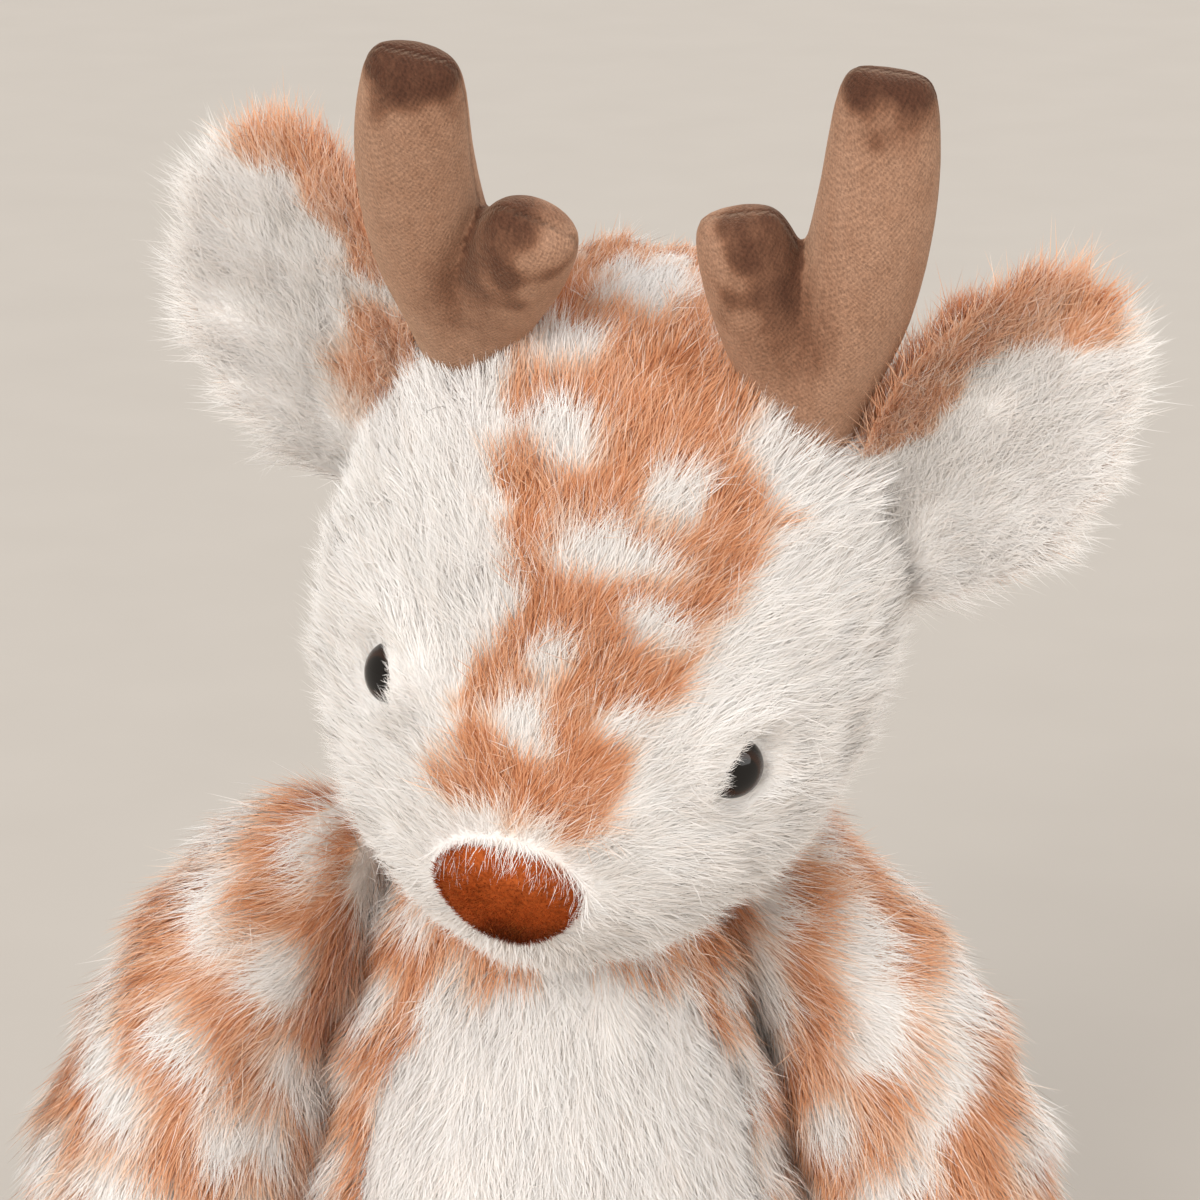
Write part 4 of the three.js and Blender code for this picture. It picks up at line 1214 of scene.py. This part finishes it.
# A limb's bed and fur as far as its hoof, and the hoof over the end of them
def buildLimb(name, line, mirror, limb, body, seed):
    grown = limbForm(line, limb["radii"], limb["swell"], limbBlunt)
    length = lengthOf(np.diff(curveAt(line, np.linspace(0, 1, 40)), axis=0)).sum()
    *spotSizes, slant = limb["spots"]
    turns = round(2 * math.pi * limb["radii"][1] / spotSizes[0]) * spotSizes[0]

    def tint(p, u, v):
        wobble, _ = waves(p, 16, seed)
        along = (1 - np.cos(math.pi * v)) / 2 * length
        white = spotGrid(u * turns + wobble, along + wobble, *spotSizes, seed, -mirror * slant)
        return blendTint(white, limbTan)

    # along the line at the nearest place on it
    def flow(p):
        samples = curveAt(line, np.linspace(0, 1, limbPlaces))
        t = lengthOf(p[:, None] - samples[None]).argmin(1) / (limbPlaces - 1)
        aside = (1 - smooth(0.05, 0.5, t))[:, None] * np.array(limb["comb"]) * [mirror, 1, 1]
        return unit(curveAt(line, t + 0.02) - curveAt(line, t - 0.02)) + aside

    bed(f"{name}_skin", grown(bedGrow), 72, 90, tint, body, [f"{name}_cover", f"{name}_stuffing"],
        span=(0, hoofStart))
    coat(f"{name}_fur", grown, bedGrow, furStyles["long"], tint, flow, body, seed,
         lambda p, u, v: (v < hoofStart - 0.002) & ~insideTorso(p, -2))
    padSpan = (hoofStart - hoof["overlap"], 1)
    pad = formMesh(f"{name}_hoof_pad", grown(hoof["grow"]), 72, 24, body, velour, padSpan)
    x, y, z = pointsOf(pad.data).T
    setVelourPlaces(pad, x * 0, x * 0 + hoof["patch"], x, z - y)
    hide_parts(f"{name}_hoof")


for side, mirror in mirrors.items():
    for name, limb, seed in ((f"arm_{side}", arms, 500), (f"leg_{side}", legs, 700)):
        start = (mirror * limb["side"], -limb["forward"], limb["heights"][side])
        line = limbLine(start, limb["reach"], limb["shares"], mirror)
        buildLimb(name, line, mirror, limb, name, seed + 40 * mirror)

tail = {
    "length": 32, "radius": 11, "root": (0, 37.037, 34), "blunt": 0.7, "pale": 0.05, "tan": 0.67,
    "shares": [[0, 0, 0], [0, 0.5, 0.12], [0, 0.9, 0.4]],
}
tailLine = limbLine(tail["root"], tail["length"], tail["shares"])
tailForm = limbForm(tailLine, (tail["radius"], tail["radius"]), 1, tail["blunt"])


# Tan above and white below
def tailTint(p, u, v):
    return blend(tail["pale"], tail["tan"], 0.2, 0.35, 0.5 - np.sin(2 * math.pi * u) * 0.5)


bed("tailSkin", tailForm(bedGrow), 48, 32, tailTint, "tail", ["tail_cover", "tail_stuffing"])
coat("tailFur", tailForm, bedGrow, furStyles["long"], tailTint,
     lambda p: np.tile([0, 0.7, 0.5], (len(p), 1)), "tail", 61, lambda p, u, v: ~insideTorso(p, 0))


# Care label: a blank tape in the back seam

# width is the tape's flat width; its flat length is what the seam and the CAD's box leave of it
label = {"width": 16, "thickness": 0.5, "sewnIn": 1, "sag": 2.5, "ripple": 0.5, "across": 17, "along": 23}


# The tape runs out of the seam and hangs: it sinks by the square of how far along it is, and ripples
def buildLabel():
    low, high = (np.array(corner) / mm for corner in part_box("care_label"))
    made = Material("labelTape", Roughness=0.6, Sheen_Weight=0.2)
    weave = made.noise(0.5, 1, 0.5, (1, 4, 1))
    made.set(Base_Color=weave.span(0.3, 0.7).ramp([(0, 226, 224, 220), (1, 246, 245, 242)]))
    made.bump(weave, 0.06)
    across, along = label["across"], label["along"]
    x, s = np.linspace(low[0], high[0], across)[:, None], np.linspace(0, 1, along)[None]
    depth = high[1] - low[1] + label["sewnIn"]
    z = (low[2] + high[2]) / 2 - label["sag"] * s**2 + label["ripple"] * np.sin(4 * s + x / 5)
    under = joined(*np.broadcast_arrays(x, low[1] - label["sewnIn"] + depth * s, z))
    points = np.stack([under, under + [0, 0, label["thickness"]]])
    under, top = np.arange(2 * across * along).reshape(2, across, along)
    faces = [joined(top[:-1, :-1], top[1:, :-1], top[1:, 1:], top[:-1, 1:]).reshape(-1, 4),
             joined(under[:-1, :-1], under[:-1, 1:], under[1:, 1:], under[1:, :-1]).reshape(-1, 4)]
    rim = np.concatenate([under[:-1, 0], under[-1, :-1], under[:0:-1, -1], under[0, :0:-1]])
    upper = rim + across * along
    faces.append(joined(rim, np.roll(rim, -1), np.roll(upper, -1), upper))
    obj = makeMesh("careLabel", points.reshape(-1, 3), np.concatenate(faces), [], "torso", made.made)
    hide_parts("care_label")
    print("label done", flush=True)


buildLabel()


# Stage: a floor, soft lamps, what lies beyond and the camera

# places and sizes in metres
stageLook = {
    "floor": [(0, 188, 180, 170), (1, 193, 185, 175)], "floorRadius": 6.0,
    "beyond": shown(210, 201, 190), "daylight": shown(252, 251, 251), "dome": 0.76,
    # where each lamp's light comes from, how strong it is and how many degrees wide
    "lamps": {
        "key": ((-0.8, -1.05, 0.7), 1.85, 31),
        "fill": ((0.95, -0.85, 0.45), 0.74, 38),
        "rim": ((0.4, 0.6, 0.8), 1.1, 40),
    },
    "lampsAimAt": (0, 0, 0.17),
}
view = {
    "azimuth": -10, "elevation": 16, "distance": 0.9, "target": (0.012, -0.006, 0.19),
    "lens": 135, "film": 36,
}


# A flat disc, faintly cloudy
def makeFloor():
    made = Material("floor", Roughness=0.9, Specular_IOR_Level=0.2)
    made.set(Base_Color=made.noise(60, 2).span(0, 1).ramp(stageLook["floor"]))
    bpy.ops.mesh.primitive_circle_add(vertices=64, radius=stageLook["floorRadius"], fill_type="NGON")
    obj = bpy.context.object
    obj.name = "floor"
    obj.data.materials.append(made.made)


makeFloor()


# What lies beyond the floor is seen as the same pale colour, and lights the toy as daylight
def makeWorld():
    world = bpy.data.worlds.new("studio")
    world.use_nodes = True
    tree = world.node_tree
    start = Field(tree, None)
    seen = [start.node("LightPath", {}, f"Is {ray} Ray") for ray in ("Camera", "Glossy", "Transmission")]
    share = seen[0].math("MAXIMUM", seen[1]).math("MAXIMUM", seen[2])
    light = start.node("Background", {0: stageLook["daylight"], 1: stageLook["dome"]})
    beyond = start.node("Background", {0: stageLook["beyond"], 1: 1.0})
    mixed = start.node("MixShader", {0: share, 1: light, 2: beyond})
    tree.links.new(mixed.socket, tree.nodes["World Output"].inputs[0])
    bpy.context.scene.world = world


makeWorld()


# Puts a lamp or a camera at a place, with its back away from the target
def lookAt(name, data, place, target):
    obj = bpy.data.objects.new(name, data)
    obj.location = place
    obj.rotation_euler = (Vector(target) - Vector(place)).to_track_quat("-Z", "Y").to_euler()
    bpy.context.scene.collection.objects.link(obj)
    return obj


# Broad, even lamps as far off as the sun, so that the floor is as bright everywhere
for name, (place, strength, degreesWide) in stageLook["lamps"].items():
    lamp = bpy.data.lights.new(name, "SUN")
    lamp.energy, lamp.angle = strength, math.radians(degreesWide)
    lookAt(name, lamp, place, stageLook["lampsAimAt"])
bpy.context.scene.view_settings.view_transform = "Standard"


# The camera stands off its target by the distance, at the azimuth and elevation
def makeCamera():
    camera = bpy.data.cameras.new("camera")
    camera.lens, camera.sensor_width = view["lens"], view["film"]
    azimuth, elevation = math.radians(view["azimuth"]), math.radians(view["elevation"])
    back = Vector((math.sin(azimuth) * math.cos(elevation), -math.cos(azimuth) * math.cos(elevation),
                   math.sin(elevation)))
    place = Vector(view["target"]) + view["distance"] * back
    bpy.context.scene.camera = lookAt("camera", camera, place, view["target"])


makeCamera()
print("stage done", flush=True)
